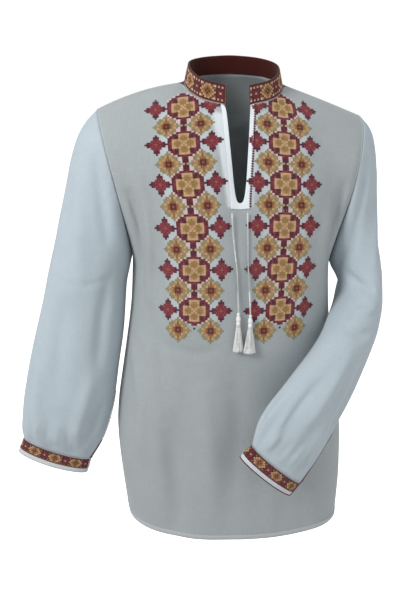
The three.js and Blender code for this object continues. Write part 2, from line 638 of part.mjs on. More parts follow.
function tassel(top, spread) {
  const profile = TASSEL_HEAD.map(([radius, depth]) => new THREE.Vector2(radius, depth)).reverse();
  const head = new THREE.LatheGeometry(profile, TASSEL.headSides).rotateX(Math.PI / 2);
  let solid = toSolid(head);
  for (const row of STRAND_ROWS) {
    for (let k = 0; k < row.count; k += 1) {
      const x = (k - (row.count - 1) / 2) * STRAND_PITCH;
      const root = place(x, row.y, -TASSEL.rootDepth);
      const foot = place(x * spread, row.y * TASSEL.backToFront, -TASSEL.length + Math.abs(x));
      solid = solid.add(toSolid(strand(root, foot)));
    }
  }
  return toGeometry(solid).translate(top.x, top.y, top.z - SEAM);
}

for (const [name, tie] of Object.entries(TIES)) {
  add(`cord_${name}`, cord(tie.route), linen('#e6eaec'));
  add(`tassel_${name}`, tassel(place(...tie.route.at(-1)), tie.spread), linen('#e6eaec'));
}

export default shirt;
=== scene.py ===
# %% [markdown]
# # A folk shirt of white linen
# The shirt is worn, so it hangs hollow from the neck and shoulders. The frame holds each cut
# piece as a plain wall: here each wall becomes cloth, and the sewing and the embroidery are
# laid on it. Everything is in metres, the front faces -Y and +Z is up.

# %% Load the frame
import math

import bmesh
import bpy
import numpy as np
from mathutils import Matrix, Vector, noise
from mathutils.bvhtree import BVHTree


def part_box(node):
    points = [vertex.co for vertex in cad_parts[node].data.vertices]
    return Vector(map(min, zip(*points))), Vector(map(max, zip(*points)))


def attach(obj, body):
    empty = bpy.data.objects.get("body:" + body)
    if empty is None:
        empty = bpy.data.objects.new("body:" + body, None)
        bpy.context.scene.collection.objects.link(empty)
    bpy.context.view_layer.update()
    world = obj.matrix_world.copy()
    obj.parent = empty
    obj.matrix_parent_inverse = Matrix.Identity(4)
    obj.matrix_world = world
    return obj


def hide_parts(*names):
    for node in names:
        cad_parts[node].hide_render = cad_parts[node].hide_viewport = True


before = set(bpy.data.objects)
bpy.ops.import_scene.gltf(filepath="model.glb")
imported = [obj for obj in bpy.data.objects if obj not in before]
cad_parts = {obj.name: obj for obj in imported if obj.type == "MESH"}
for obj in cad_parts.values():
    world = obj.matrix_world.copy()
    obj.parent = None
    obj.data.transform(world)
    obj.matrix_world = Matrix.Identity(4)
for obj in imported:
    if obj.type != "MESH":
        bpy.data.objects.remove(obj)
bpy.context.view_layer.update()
MM = 0.001
print("frame:", sorted(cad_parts))

# %% Meshes and their numbers


def mesh_from(bm, name):
    """Gives the mesh that a bmesh has shaped, and lets the bmesh go."""
    mesh = bpy.data.meshes.new(name)
    bm.to_mesh(mesh)
    bm.free()
    return mesh


def numbers(items, what, width, kind=float):
    """One property of all the points or corners of a mesh, a row for each."""
    found = np.zeros(len(items) * width, kind)
    items.foreach_get(what, found)
    return found.reshape(-1, width)


def linked(name, data):
    """A new object in the scene."""
    made = bpy.data.objects.new(name, data)
    bpy.context.scene.collection.objects.link(made)
    return made


# %% [markdown]
# ## Camera, light and floor
# A shirt for sale is shown in flat, soft light: a pale room all round it, one broad lamp high
# on the left and a weaker one on the right. One lamp alone would leave half of the cloth black,
# and an even room alone would hide its folds. The floor lies far below the hem.

# %% Camera
CAMERA_AT = (-0.1627, -1.2719, 0.0723)
CAMERA_TURN = (71, 0, -5)  # degrees: tipped down by 19, turned a little to the right
CAMERA_LENS = 46.24  # millimetres, on a sensor 36 mm high


def set_camera():
    camera = bpy.data.cameras.new("camera")
    camera.sensor_fit = "VERTICAL"
    camera.sensor_height = 36
    camera.lens = CAMERA_LENS
    holder = linked("camera", camera)
    holder.location = CAMERA_AT
    holder.rotation_euler = [math.radians(turn) for turn in CAMERA_TURN]
    bpy.context.scene.camera = holder
    bpy.context.scene.view_settings.view_transform = "Standard"


set_camera()

# %% Light and floor
ROOM_LIGHT = 0.5
ROOM_SEEN = 1.0
LAMPS = [
    {"name": "key", "at": (-1.9, -1.5, 1.4), "size": 0.9, "watts": 50},
    {"name": "fill", "at": (2.0, -1.4, 0.2), "size": 1.8, "watts": 10},
    {"name": "back", "at": (0.4, 1.9, 1.2), "size": 1.8, "watts": 12},
]
LAMPS_AIM = Vector((0, 0, -0.3))
FLOOR_Z = -1.3
FLOOR_HALF = 12
FLOOR_GLOW = 0.8


def set_room():
    """A white room that gives less light than it shows, so that the lamps can draw the folds."""
    world = bpy.data.worlds.new("pale room")
    world.use_nodes = True
    nodes = world.node_tree.nodes
    sky = nodes["Background"]
    seen = nodes.new("ShaderNodeLightPath")
    level = nodes.new("ShaderNodeMapRange")
    level.inputs["To Min"].default_value = ROOM_LIGHT
    level.inputs["To Max"].default_value = ROOM_SEEN
    world.node_tree.links.new(seen.outputs["Is Camera Ray"], level.inputs["Value"])
    world.node_tree.links.new(level.outputs["Result"], sky.inputs["Strength"])
    sky.inputs["Color"].default_value = (1, 1, 1, 1)
    bpy.context.scene.world = world


def set_lamps():
    for lamp in LAMPS:
        light = bpy.data.lights.new(lamp["name"], "AREA")
        light.size = lamp["size"]
        light.energy = lamp["watts"]
        holder = linked(lamp["name"], light)
        holder.location = lamp["at"]
        holder.rotation_euler = (LAMPS_AIM - holder.location).to_track_quat("-Z", "Y").to_euler()


def lay_floor():
    bm = bmesh.new()
    bmesh.ops.create_grid(bm, x_segments=1, y_segments=1, size=FLOOR_HALF)
    bmesh.ops.translate(bm, verts=bm.verts, vec=(0, 0, FLOOR_Z))
    mesh = mesh_from(bm, "floor")
    paint = bpy.data.materials.new("pale floor")
    paint.use_nodes = True
    shader = paint.node_tree.nodes["Principled BSDF"]
    shader.inputs["Base Color"].default_value = (0.9, 0.9, 0.9, 1)
    shader.inputs["Emission Color"].default_value = (1, 1, 1, 1)
    shader.inputs["Emission Strength"].default_value = FLOOR_GLOW
    mesh.materials.append(paint)
    floor = linked("floor", mesh)
    floor.visible_diffuse = False  # as white as the room, yet it lights nothing from below


set_room()
set_lamps()
lay_floor()

# %% [markdown]
# ## Shader sums written as expressions
# A `Wire` is a socket that can stand in a Python sum: each operator adds the Math node that it
# means. A `Finish` is one material; its `node` method adds any other node. Nodes could be added
# and linked one by one, but a sum of three terms would then fill a page and be hard to read.

# %% Wires and finishes


class Wire:
    def __init__(self, finish, socket):
        self.finish = finish
        self.socket = socket

    def maths(self, operation, *values):
        return self.finish.node("ShaderNodeMath", {"operation": operation}, dict(enumerate(values)))

    def __add__(self, other):
        return self.maths("ADD", self, other)

    def __sub__(self, other):
        return self.maths("SUBTRACT", self, other)

    def __rsub__(self, other):
        return self.maths("SUBTRACT", other, self)

    def __mul__(self, other):
        return self.maths("MULTIPLY", self, other)

    __radd__ = __add__
    __rmul__ = __mul__

    def size(self):
        return self.maths("ABSOLUTE", self)

    def wave(self):
        return self.maths("SINE", self)

    def floor(self):
        return self.maths("FLOOR", self)

    def odd(self):
        return self.maths("FLOORED_MODULO", self, 2)

    def highest(self, other):
        return self.maths("MAXIMUM", self, other)


class Finish:
    def __init__(self, name):
        self.material = bpy.data.materials.new(name)
        self.material.use_nodes = True
        self.tree = self.material.node_tree
        self.shader = self.tree.nodes["Principled BSDF"]

    def node(self, kind, settings, inputs, output=0):
        made = self.tree.nodes.new(kind)
        for key, value in settings.items():
            setattr(made, key, value)
        for key, value in inputs.items():
            self.put(made.inputs[key], value)
        return Wire(self, made.outputs[output])

    def put(self, socket, value):
        if isinstance(value, Wire):
            self.tree.links.new(value.socket, socket)
        else:
            socket.default_value = value

    def mix(self, factor, low, high):
        """A colour that goes from low to high as factor goes from 0 to 1."""
        colours = {6: as_colour(low), 7: as_colour(high)}
        return self.node("ShaderNodeMix", {"data_type": "RGBA"}, {0: factor, **colours}, 2)

    def noise(self, place, scale, detail=3):
        inputs = {"Vector": place, "Scale": scale, "Detail": detail}
        return self.node("ShaderNodeTexNoise", {}, inputs)

    def stretched(self, place, scale):
        return self.node("ShaderNodeMapping", {}, {"Vector": place, "Scale": scale})

    def raised(self, height, depth):
        bump = self.node("ShaderNodeBump", {}, {"Height": height, "Distance": depth, "Strength": 1})
        self.put(self.shader.inputs["Normal"], bump)


def as_colour(value):
    return value if isinstance(value, Wire) else (*value, 1)


def srgb(red, green, blue):
    """A colour given as on a screen, 0 to 255, in the renderer's linear light."""
    return tuple((part / 255) ** 2.2 for part in (red, green, blue))


# %% [markdown]
# ## Linen
# Linen is a plain weave of threads that are never quite even: thick slubs make short streaks
# both ways. The weave is cut from the piece's own cloth map, in metres, so it turns and bends
# with the cloth. A picture of linen would blur from near and repeat from afar; a weave that is
# worked out does neither. The body's single layer is coloured greyer than the sleeves: painted
# shade of the dark hollow inside seen through the cloth. Where two layers lie on each other less
# of it shows, so the cloth is whiter: the `layers` attribute says where.

# %% Linen finish
THREAD = 0.62 * MM
SLUB_LONG = 45
SLUB_THIN = 900


def linen(name, dark, light, doubled):
    finish = Finish(name)
    cloth = finish.node("ShaderNodeUVMap", {"uv_map": "cloth"}, {})
    across = finish.node("ShaderNodeSeparateXYZ", {}, {0: cloth}, 0)
    along = finish.node("ShaderNodeSeparateXYZ", {}, {0: cloth}, 1)
    warp = (across * (math.pi / THREAD)).wave().size()
    weft = (along * (math.pi / THREAD)).wave().size()
    over = ((across * (1 / THREAD)).floor() + (along * (1 / THREAD)).floor()).odd()
    weave = (warp * (over * 0.45 + 0.55)).highest(weft * (1 - over * 0.45))
    flat = finish.stretched(cloth, (SLUB_THIN, SLUB_LONG, 1))
    upright = finish.stretched(cloth, (SLUB_LONG, SLUB_THIN, 1))
    slubs = finish.noise(flat, 1) * 0.5 + finish.noise(upright, 1) * 0.5
    patches = finish.noise(cloth, 14)
    tone = slubs * 1.4 + patches * 0.5 - 0.6 + weave * 0.16
    layers = finish.node("ShaderNodeAttribute", {"attribute_name": "layers"}, {}, 2)
    single = finish.mix(tone, dark, light)
    finish.put(finish.shader.inputs["Base Color"], finish.mix(layers, single, doubled))
    finish.put(finish.shader.inputs["Roughness"], 0.92 - slubs * 0.16)
    finish.shader.inputs["Sheen Weight"].default_value = 0.12
    finish.shader.inputs["Sheen Roughness"].default_value = 0.5
    finish.shader.inputs["Specular IOR Level"].default_value = 0.25
    finish.raised(weave * 0.6 + slubs * 1.6, 0.16 * MM)
    return finish.material


# The body's two greyer colours are painted shade of the hollow inside seen through the cloth; the
# doubled colour is the linen's own white.
SHADED_BODY_LINEN = linen("body linen painted shade", srgb(157, 164, 166), srgb(180, 187, 189), srgb(232, 240, 246))
SLEEVE_LINEN = linen("sleeve linen", srgb(174, 187, 195), srgb(196, 209, 217), srgb(214, 226, 234))
BINDING_LINEN = linen("binding linen", srgb(226, 235, 242), srgb(244, 249, 252), srgb(246, 250, 253))
# The cuffs' white linen is made greyer than the binding's: painted shade.
SHADED_CUFF_LINEN = linen("cuff linen painted shade", srgb(196, 203, 207), srgb(216, 222, 226), srgb(226, 232, 236))
GROUND_LINEN = linen("ground linen", srgb(104, 74, 60), srgb(134, 100, 82), srgb(134, 100, 82))
# Painted shade: the dark red of the collar's inside stands for the shade in the hollow neck.
PAINTED_SHADE_LINING = linen("collar lining", srgb(58, 18, 14), srgb(80, 28, 20), srgb(80, 28, 20))

# %% [markdown]
# ## Embroidery thread
# The stitches are of mercerised cotton: each colour is dyed a little unevenly, and the thread
# has a soft gloss. Every finish is a colour that swings slowly from place to place, with fine
# strands as bump.

# %% Thread finishes
THREADS = {
    "M": ("maroon", (122, 44, 60)),
    "D": ("plum", (84, 30, 46)),
    "G": ("gold", (178, 144, 98)),
    "S": ("ochre", (158, 124, 74)),
    "P": ("peach", (208, 172, 132)),
    "O": ("olive", (152, 143, 104)),
    "B": ("brown", (150, 104, 70)),
    "K": ("dark_brown", (92, 40, 28)),
    "R": ("red", (144, 62, 66)),
    "T": ("rust", (172, 92, 66)),
    "C": ("blush", (230, 200, 192)),
    "W": ("white", (254, 255, 255)),
}


def thread(name, colour):
    finish = Finish(name + " thread")
    place = finish.node("ShaderNodeTexCoord", {}, {}, 3)
    dye = finish.noise(place, 240, 2)
    strands = finish.noise(place, 2600, 1)
    low = [0.74 * part for part in srgb(*colour)]
    high = [min(1, 1.16 * part) for part in srgb(*colour)]
    finish.put(finish.shader.inputs["Base Color"], finish.mix(dye * 1.6 - 0.3, low, high))
    finish.put(finish.shader.inputs["Roughness"], strands * 0.3 + 0.42)
    finish.shader.inputs["Sheen Weight"].default_value = 0.15
    finish.shader.inputs["Specular IOR Level"].default_value = 0.35
    finish.raised(strands, 0.12 * MM)
    return finish.material


THREAD_FINISH = {letter: thread(name, colour) for letter, (name, colour) in THREADS.items()}

# %% [markdown]
# ## Cloth from the frame's walls
# Each cloth node is a closed wall. Its outer face alone is the shape to keep: the faces are
# grouped into regions that no sharp edge crosses, and the region that looks away from the
# middle of the piece is the outside. A small region that the outside surrounds, as in a sharp
# fold at the elbow, belongs to it too, and a last gap there is filled. The triangles are joined
# to quads, so that subdivision rounds the cloth as a weaver's grid would lie. The cloth could
# be draped by a simulation instead, but that would leave its place and differ at each seam.

# %% The outer face of a node
MERGE = 0.001 * MM
SMALL_REGION = 10  # faces
LARGEST_GAP = 16  # sides of a gap in a sharp fold
ROUND_THE_NECK = ("front", "back", "slit_facing", "collar")


def smooth_regions(bm, crease):
    waiting = set(bm.faces)
    regions = []
    while waiting:
        stack = [waiting.pop()]
        region = []
        while stack:
            face = stack.pop()
            region.append(face)
            for edge in face.edges:
                if len(edge.link_faces) == 2 and edge.calc_face_angle() < crease:
                    stack += [near for near in edge.link_faces if near in waiting]
                    waiting -= set(edge.link_faces)
        regions.append(region)
    return regions


def outwardness(faces, middle):
    return sum(
        (face.calc_center_median() - middle).dot(face.normal) * face.calc_area() for face in faces
    )


def outer_face(node, crease):
    low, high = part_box(node)
    middle = (low + high) / 2
    if node in ROUND_THE_NECK:
        middle = Vector((0, 0, middle.z))
    bm = bmesh.new()
    bm.from_mesh(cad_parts[node].data)
    bmesh.ops.remove_doubles(bm, verts=bm.verts, dist=MERGE)
    regions = smooth_regions(bm, math.radians(crease))
    kept = set(max(regions, key=lambda faces: outwardness(faces, middle)))
    for region in sorted(regions, key=len):
        around = {near for face in region for edge in face.edges for near in edge.link_faces}
        if len(region) < SMALL_REGION and around - set(region) <= kept:
            kept |= set(region)
    bmesh.ops.delete(bm, geom=[face for face in bm.faces if face not in kept], context="FACES")
    rims = [edge for edge in bm.edges if edge.is_boundary]
    bmesh.ops.holes_fill(bm, edges=rims, sides=LARGEST_GAP)
    half_turn = math.pi
    bmesh.ops.join_triangles(
        bm, faces=bm.faces, angle_face_threshold=half_turn, angle_shape_threshold=half_turn
    )
    return bm


# %% [markdown]
# ## The cloth map
# Each piece is unrolled flat, as its pattern was before it was sewn, and the map is turned so
# that the warp runs down the piece, and scaled so that one unit is one metre. A tube needs a
# cut first: it runs down the column of edges that starts under the arm, as the real seam does.

# %% Unroll a piece


def next_edge(vert, edge):
    """The edge that goes straight on through a vertex of a grid."""
    near = set(edge.link_faces)
    for other in vert.link_edges:
        if other is not edge and not near & set(other.link_faces):
            return other
    return None


def cut_tube(bm):
    """Marks the seam that starts at the armhole's lowest point."""
    rim = [vert for vert in bm.verts if vert.is_boundary and len(vert.link_edges) == 3]
    top = max(vert.co.z for vert in rim)
    ring = connected_rim(bm, max(rim, key=lambda vert: vert.co.z))
    vert = min(ring, key=lambda v: v.co.z)
    edge = next(e for e in vert.link_edges if not e.is_boundary)
    count = 0
    while edge and not edge.is_boundary:
        edge.seam = True
        vert = edge.other_vert(vert)
        edge = next_edge(vert, edge)
        count += 1
    print("tube cut over", count, "edges, from a rim that reaches", round(top, 3))


def connected_rim(bm, start):
    """The boundary loop through a vertex, in order."""
    loop = [start]
    edge = next(e for e in start.link_edges if e.is_boundary)
    vert = edge.other_vert(start)
    while vert is not start:
        loop.append(vert)
        edge = next(e for e in vert.link_edges if e.is_boundary and e is not edge)
        vert = edge.other_vert(vert)
    return loop


def unroll(piece):
    bpy.context.view_layer.objects.active = piece
    piece.select_set(True)
    bpy.ops.object.mode_set(mode="EDIT")
    bpy.ops.mesh.select_all(action="SELECT")
    bpy.ops.uv.unwrap(method="ANGLE_BASED")
    bpy.ops.object.mode_set(mode="OBJECT")
    piece.select_set(False)
    mesh = piece.data
    layer = mesh.uv_layers[0]
    layer.name = "cloth"
    flat = numbers(layer.data, "uv", 2)
    corner = numbers(mesh.loops, "vertex_index", 1, int)[:, 0]
    height = numbers(mesh.vertices, "co", 3)[corner, 2]
    centred = np.c_[flat, np.ones(len(flat))]
    slope = np.linalg.lstsq(centred, height, rcond=None)[0][:2]
    turn = np.array([[slope[1], -slope[0]], [slope[0], slope[1]]]) / np.linalg.norm(slope)
    flat = flat @ turn.T
    area = sum(polygon.area for polygon in mesh.polygons)
    starts = [polygon.loop_start for polygon in mesh.polygons]
    counts = [polygon.loop_total for polygon in mesh.polygons]
    mapped = sum(shoelace(flat[s:s + n]) for s, n in zip(starts, counts))
    flat *= math.sqrt(area / mapped)
    layer.data.foreach_set("uv", flat.ravel())
    return area


def shoelace(corners):
    x, y = corners[:, 0], corners[:, 1]
    return abs(np.dot(x, np.roll(y, -1)) - np.dot(y, np.roll(x, -1))) / 2


# %% [markdown]
# ## Creases
# Linen keeps its creases. Each one here is listed as a soft trough (a depth below 0)
# or ridge along a few points of x and z, in millimetres, on the piece's front (`on` is -1) or
# its back (1). It is deepest in its middle and dies out at both ends. The short ones above each
# cuff are its gathers. A weak unevenness all over keeps the cloth from looking pressed. They
# could be sculpted by hand, but a table can be read, changed and run again.

# %% Press creases into a piece
CREASES = {
    "front": [
        {"on": -1, "line": [(-176, -150), (-160, -205), (-150, -285)], "width": 11, "depth": -9.3},
        {
            "on": -1, "width": 9, "depth": 6.2,
            "line": [(-160, -120), (-142, -190), (-140, -300), (-150, -390)],
        },
        {"on": -1, "line": [(-150, -330), (-128, -420), (-120, -520)], "width": 14, "depth": -6.2},
        {"on": -1, "line": [(-172, -420), (-160, -520), (-165, -640)], "width": 13, "depth": 6.2},
        {"on": -1, "line": [(-120, -560), (-104, -660), (-100, -780)], "width": 17, "depth": -7},
        {"on": -1, "line": [(-60, -470), (-44, -600), (-40, -770)], "width": 20, "depth": 5.4},
        {"on": -1, "line": [(-8, -440), (2, -560), (-4, -700)], "width": 18, "depth": -4},
        {"on": -1, "line": [(48, -520), (60, -640), (66, -785)], "width": 19, "depth": 6.2},
        {"on": -1, "line": [(108, -470), (112, -590), (128, -740)], "width": 15, "depth": -7},
        {"on": -1, "line": [(160, -380), (150, -500), (158, -620)], "width": 14, "depth": 6.2},
        {"on": -1, "line": [(178, -140), (160, -210), (152, -300)], "width": 10, "depth": -7.8},
        {"on": -1, "line": [(150, -170), (138, -260), (140, -350)], "width": 12, "depth": 6.2},
        {"on": -1, "line": [(30, -205), (60, -190), (118, -165)], "width": 7, "depth": -1.9},
        {"on": -1, "line": [(-30, -410), (-70, -422), (-140, -405)], "width": 8, "depth": -2.2},
        {"on": -1, "line": [(-20, -262), (14, -300), (20, -372)], "width": 12, "depth": -2.5},
    ],
    "back": [
        {"on": 1, "line": [(-172, -140), (-150, -210), (-150, -330)], "width": 13, "depth": -9.3},
        {"on": 1, "line": [(-120, -150), (-104, -260), (-112, -400)], "width": 16, "depth": 6.2},
        {"on": 1, "line": [(-70, -330), (-50, -470), (-58, -640)], "width": 19, "depth": -6.2},
        {"on": 1, "line": [(-12, -300), (2, -480), (-6, -760)], "width": 18, "depth": 6.2},
        {"on": 1, "line": [(52, -420), (66, -560), (60, -770)], "width": 20, "depth": -7},
        {"on": 1, "line": [(118, -170), (108, -290), (122, -430)], "width": 15, "depth": 7},
        {"on": 1, "line": [(170, -150), (152, -230), (146, -350)], "width": 12, "depth": -9.3},
        {"on": 1, "line": [(-150, -520), (-132, -640), (-140, -775)], "width": 17, "depth": 6.2},
        {"on": 1, "line": [(140, -500), (128, -640), (136, -780)], "width": 16, "depth": -5.4},
        {"on": 1, "line": [(-60, -60), (0, -84), (70, -62)], "width": 12, "depth": -3.1},
    ],
    "sleeve_right": [
        {"on": -1, "line": [(-222, -96), (-214, -170), (-206, -250)], "width": 9, "depth": -6.2},
        {"on": -1, "line": [(-246, -110), (-250, -220), (-256, -330)], "width": 15, "depth": 5.4},
        {"on": -1, "line": [(-204, -290), (-222, -380), (-232, -470)], "width": 12, "depth": -6.2},
        {"on": -1, "line": [(-280, -330), (-296, -430), (-306, -530)], "width": 16, "depth": -5.4},
        {"on": -1, "line": [(-240, -470), (-262, -540), (-280, -600)], "width": 13, "depth": 6.2},
        {"on": -1, "line": [(-330, -450), (-340, -530), (-344, -590)], "width": 12, "depth": 5.4},
        {"on": -1, "line": [(-226, -530), (-246, -585), (-262, -620)], "width": 9, "depth": -6.2},
        {"on": -1, "line": [(-338, -560), (-344, -590), (-346, -606)], "width": 7, "depth": 3.2},
        {"on": -1, "line": [(-322, -552), (-326, -585), (-330, -606)], "width": 6, "depth": -2.4},
        {"on": -1, "line": [(-304, -560), (-308, -590), (-312, -614)], "width": 8, "depth": 3.4},
        {"on": -1, "line": [(-288, -568), (-290, -596), (-293, -620)], "width": 6, "depth": -2.6},
        {"on": -1, "line": [(-272, -566), (-273, -600), (-276, -626)], "width": 7, "depth": 3},
        {"on": -1, "line": [(-196, -300), (-250, -312), (-306, -306)], "width": 5, "depth": -1.4},
        {"on": 1, "line": [(-226, -110), (-220, -210), (-222, -320)], "width": 13, "depth": -7.8},
        {"on": 1, "line": [(-262, -180), (-276, -300), (-290, -420)], "width": 16, "depth": 6.2},
        {"on": 1, "line": [(-230, -360), (-252, -470), (-270, -580)], "width": 14, "depth": -7},
        {"on": 1, "line": [(-320, -420), (-332, -510), (-338, -600)], "width": 12, "depth": 6.2},
    ],
    "sleeve_left": [
        {"on": -1, "line": [(214, -110), (205, -190), (190, -262)], "width": 9, "depth": -6.2},
        {"on": -1, "line": [(234, -130), (236, -220), (228, -300)], "width": 11, "depth": 5.4},
        {"on": -1, "line": [(186, -300), (206, -318), (230, -322)], "width": 8, "depth": -6.2},
        {"on": -1, "line": [(190, -350), (208, -352), (228, -346)], "width": 7, "depth": 4.7},
        {"on": -1, "line": [(170, -372), (194, -384), (222, -384)], "width": 8, "depth": -5.4},
        {"on": -1, "line": [(180, -400), (140, -460), (104, -520)], "width": 12, "depth": 6.2},
        {"on": -1, "line": [(206, -420), (176, -490), (134, -560)], "width": 11, "depth": -5.4},
        {"on": -1, "line": [(126, -440), (86, -490), (58, -540)], "width": 9, "depth": -5.4},
        {"on": -1, "line": [(150, -520), (124, -570), (104, -600)], "width": 8, "depth": 4.7},
        {"on": -1, "line": [(40, -562), (50, -546), (62, -526)], "width": 6, "depth": 3},
        {"on": -1, "line": [(60, -576), (70, -560), (80, -544)], "width": 6, "depth": -2.6},
        {"on": -1, "line": [(79, -592), (89, -576), (102, -556)], "width": 7, "depth": 3.2},
        {"on": -1, "line": [(96, -606), (106, -590), (116, -574)], "width": 6, "depth": -2.6},
        {"on": 1, "line": [(214, -110), (206, -200), (200, -290)], "width": 12, "depth": -7.8},
        {"on": 1, "line": [(232, -170), (232, -270), (216, -370)], "width": 13, "depth": 6.2},
        {"on": 1, "line": [(210, -400), (176, -480), (132, -560)], "width": 12, "depth": -6.2},
    ],
}
CREASE_STEPS = 14
UNEVEN = {"height": 1.1 * MM, "scale": 14}


def through(points, steps):
    """A smooth line through a few points, as a Catmull-Rom spline."""
    line = []
    ends = [points[0], *points, points[-1]]
    for before, start, stop, after in zip(ends, ends[1:], ends[2:], ends[3:]):
        for step in range(steps):
            f = step / steps
            pull = (stop - before) * 0.5
            push = (after - start) * 0.5
            line.append(
                start * (2 * f**3 - 3 * f**2 + 1) + pull * (f**3 - 2 * f**2 + f)
                + stop * (3 * f**2 - 2 * f**3) + push * (f**3 - f**2)
            )
    return line + [points[-1]]


def evenly(line, step):
    """A line's points again, at equal steps."""
    line = np.array(line)
    along = np.r_[0, np.cumsum(np.linalg.norm(np.diff(line, axis=0), axis=1))]
    at = np.linspace(0, along[-1], int(along[-1] / step) + 1)
    return np.array([np.interp(at, along, line[:, k]) for k in range(3)]).T, along[-1]


def seen_from(tree, side, x, z):
    """Where a line along Y meets the cloth: from the front for side -1, from the back for 1."""
    return tree.ray_cast(Vector((x, side, z)), Vector((0, -side, 0)))


def crease_shift(places, tree, crease):
    points = [Vector((x * MM, 0, z * MM)) for x, z in crease["line"]]
    line = []
    for point in through(points, CREASE_STEPS):
        hit = seen_from(tree, crease["on"], point.x, point.z)[0]
        if hit:
            line.append(hit)
    line = np.array(line)
    if len(line) < 3:
        print("a crease misses its piece:", crease["line"])
        return 0
    nearest = np.full(len(places), np.inf)
    along = np.zeros(len(places))
    for k in range(len(line) - 1):
        step = line[k + 1] - line[k]
        f = np.clip(((places - line[k]) @ step) / (step @ step), 0, 1)
        away = np.linalg.norm(places - line[k] - f[:, None] * step, axis=1)
        closer = away < nearest
        nearest[closer] = away[closer]
        along[closer] = (k + f[closer]) / (len(line) - 1)
    taper = np.sin(np.pi * np.clip(along, 0.02, 0.98)) ** 0.8
    return crease["depth"] * MM * taper * np.exp(-((nearest / (crease["width"] * MM)) ** 2))


def press(mesh, name, hold):
    """Moves the mesh along its normals by the creases; hold says how free each point is."""
    places = numbers(mesh.vertices, "co", 3)
    normals = numbers(mesh.vertex_normals, "vector", 3)
    polygons = [tuple(face.vertices) for face in mesh.polygons]
    tree = BVHTree.FromPolygons([Vector(p) for p in places], polygons)
    shift = np.zeros(len(places))
    for crease in CREASES[name]:
        shift = shift + crease_shift(places, tree, crease)
    shift += [UNEVEN["height"] * noise.noise(Vector(p) * UNEVEN["scale"]) for p in places]
    places = places + normals * (shift * hold(places))[:, None]
    mesh.vertices.foreach_set("co", places.ravel())
    mesh.update()


# %% [markdown]
# ## Where the cloth is double
# Behind the neck slit lies a second layer, and behind the embroidery the ends of the thread.
# Each makes the front whiter there, over the body's painted shade. A patch says how much, how
# soft its edge is, and in rows of height, from and to how far it reaches, all in millimetres.

# %% Second layers
DOUBLED = {
    "front": [
        {
            "how": 0.75, "soft": 5,
            "rows": [(-40, -40, -10), (-80, -34, -10), (-120, -27, -9), (-178, -19, -8)],
        },
        {
            "how": 0.4, "soft": 5,
            "rows": [(-40, 10, 36), (-90, 10, 30), (-140, 10, 24), (-178, 8, 20)],
        },
        {"how": 0.3, "soft": 14, "rows": [(-36, -122, -44), (-142, -118, -36), (-366, -108, -30)]},
        {"how": 0.3, "soft": 14, "rows": [(-36, 34, 108), (-142, 32, 106), (-366, 30, 106)]},
    ],
}


def ramp(f):
    """Goes smoothly from 0 to 1 as f does."""
    f = np.clip(f, 0, 1)
    return f * f * (3 - 2 * f)


def mark_layers(mesh, patches=()):
    """Writes into the mesh how far a second layer lies behind each of its points."""
    x, _, z = numbers(mesh.vertices, "co", 3).T / MM
    value = np.zeros(len(x))
    for patch in patches:
        heights, left, right = np.array(patch["rows"][::-1]).T
        soft = patch["soft"]
        inside = ramp((x - np.interp(z, heights, left)) / soft + 0.5)
        inside *= ramp((np.interp(z, heights, right) - x) / soft + 0.5)
        inside *= ramp((z - heights[0]) / soft + 0.5) * ramp((heights[-1] - z) / soft + 0.5)
        value = np.maximum(value, patch["how"] * inside)
    mesh.attributes.new("layers", "FLOAT", "POINT").data.foreach_set("value", value)


# %% [markdown]
# ## The four big pieces
# Front and back hang from the shoulders, and the sleeves are full tubes that are gathered into
# their cuffs. The outer face is subdivided, pressed, and gets its thickness last. Near a seam
# the creases fade, so that the pieces still meet there.

# %% Make the cloth pieces
CLOTH_THICK = 1.1 * MM
CLOTH_LEVELS = 2
SEAM_REACH = 9 * MM
HEM_BELOW = -0.74
BIG_PIECES = {
    "front": {"finish": SHADED_BODY_LINEN, "slot": "linen_body", "crease": 55, "longest": 30 * MM},
    "back": {"finish": SHADED_BODY_LINEN, "slot": "linen_body", "crease": 55, "longest": 30 * MM},
    "sleeve_right": {"finish": SLEEVE_LINEN, "slot": "linen_sleeve", "crease": 50, "longest": 26 * MM},
    "sleeve_left": {"finish": SLEEVE_LINEN, "slot": "linen_sleeve", "crease": 60, "longest": 26 * MM},
}


def new_piece(name, mesh, finish, slot):
    piece = linked(name, mesh)
    mesh.materials.append(finish)
    mesh.polygons.foreach_set("use_smooth", [True] * len(mesh.polygons))
    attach(piece, "root")
    return piece


def finished_mesh(piece):
    """The piece's mesh with its modifiers worked in."""
    depsgraph = bpy.context.evaluated_depsgraph_get()
    depsgraph.update()
    mesh = bpy.data.meshes.new_from_object(piece.evaluated_get(depsgraph))
    piece.modifiers.clear()
    old = piece.data
    piece.data = mesh
    bpy.data.meshes.remove(old)
    mesh.name = piece.name
    return mesh


def subdivide(piece, levels):
    rounding = piece.modifiers.new("rounding", "SUBSURF")
    rounding.levels = levels
    rounding.render_levels = levels
    rounding.boundary_smooth = "PRESERVE_CORNERS"
    return finished_mesh(piece)


def thicken(piece, thickness, offset=-1):
    wall = piece.modifiers.new("wall", "SOLIDIFY")
    wall.thickness = thickness
    wall.offset = offset


def even_rows(bm, longest):
    """Cuts the long edges once, all along their rows, so that no cell is far from square."""
    long_edges = [edge for edge in bm.edges if edge.calc_length() > longest]
    bmesh.ops.subdivide_edges(bm, edges=long_edges, cuts=1, use_grid_fill=True)


def rim_points(mesh):
    """The places of the boundary's points."""
    bm = bmesh.new()
    bm.from_mesh(mesh)
    points = np.array([vert.co for vert in bm.verts if vert.is_boundary])
    bm.free()
    return points


def near_rim(mesh):
    """Gives a function that is 0 on the piece's seams and 1 well inside it; a hem is free."""
    points = rim_points(mesh)
    seams = points[points[:, 2] >= HEM_BELOW]
    tree = BVHTree.FromPolygons([Vector(p) for p in seams], [(k, k, k) for k in range(len(seams))])

    def hold(places):
        away = np.array([tree.find_nearest(Vector(p))[3] for p in places])
        return ramp(away / SEAM_REACH)

    return hold


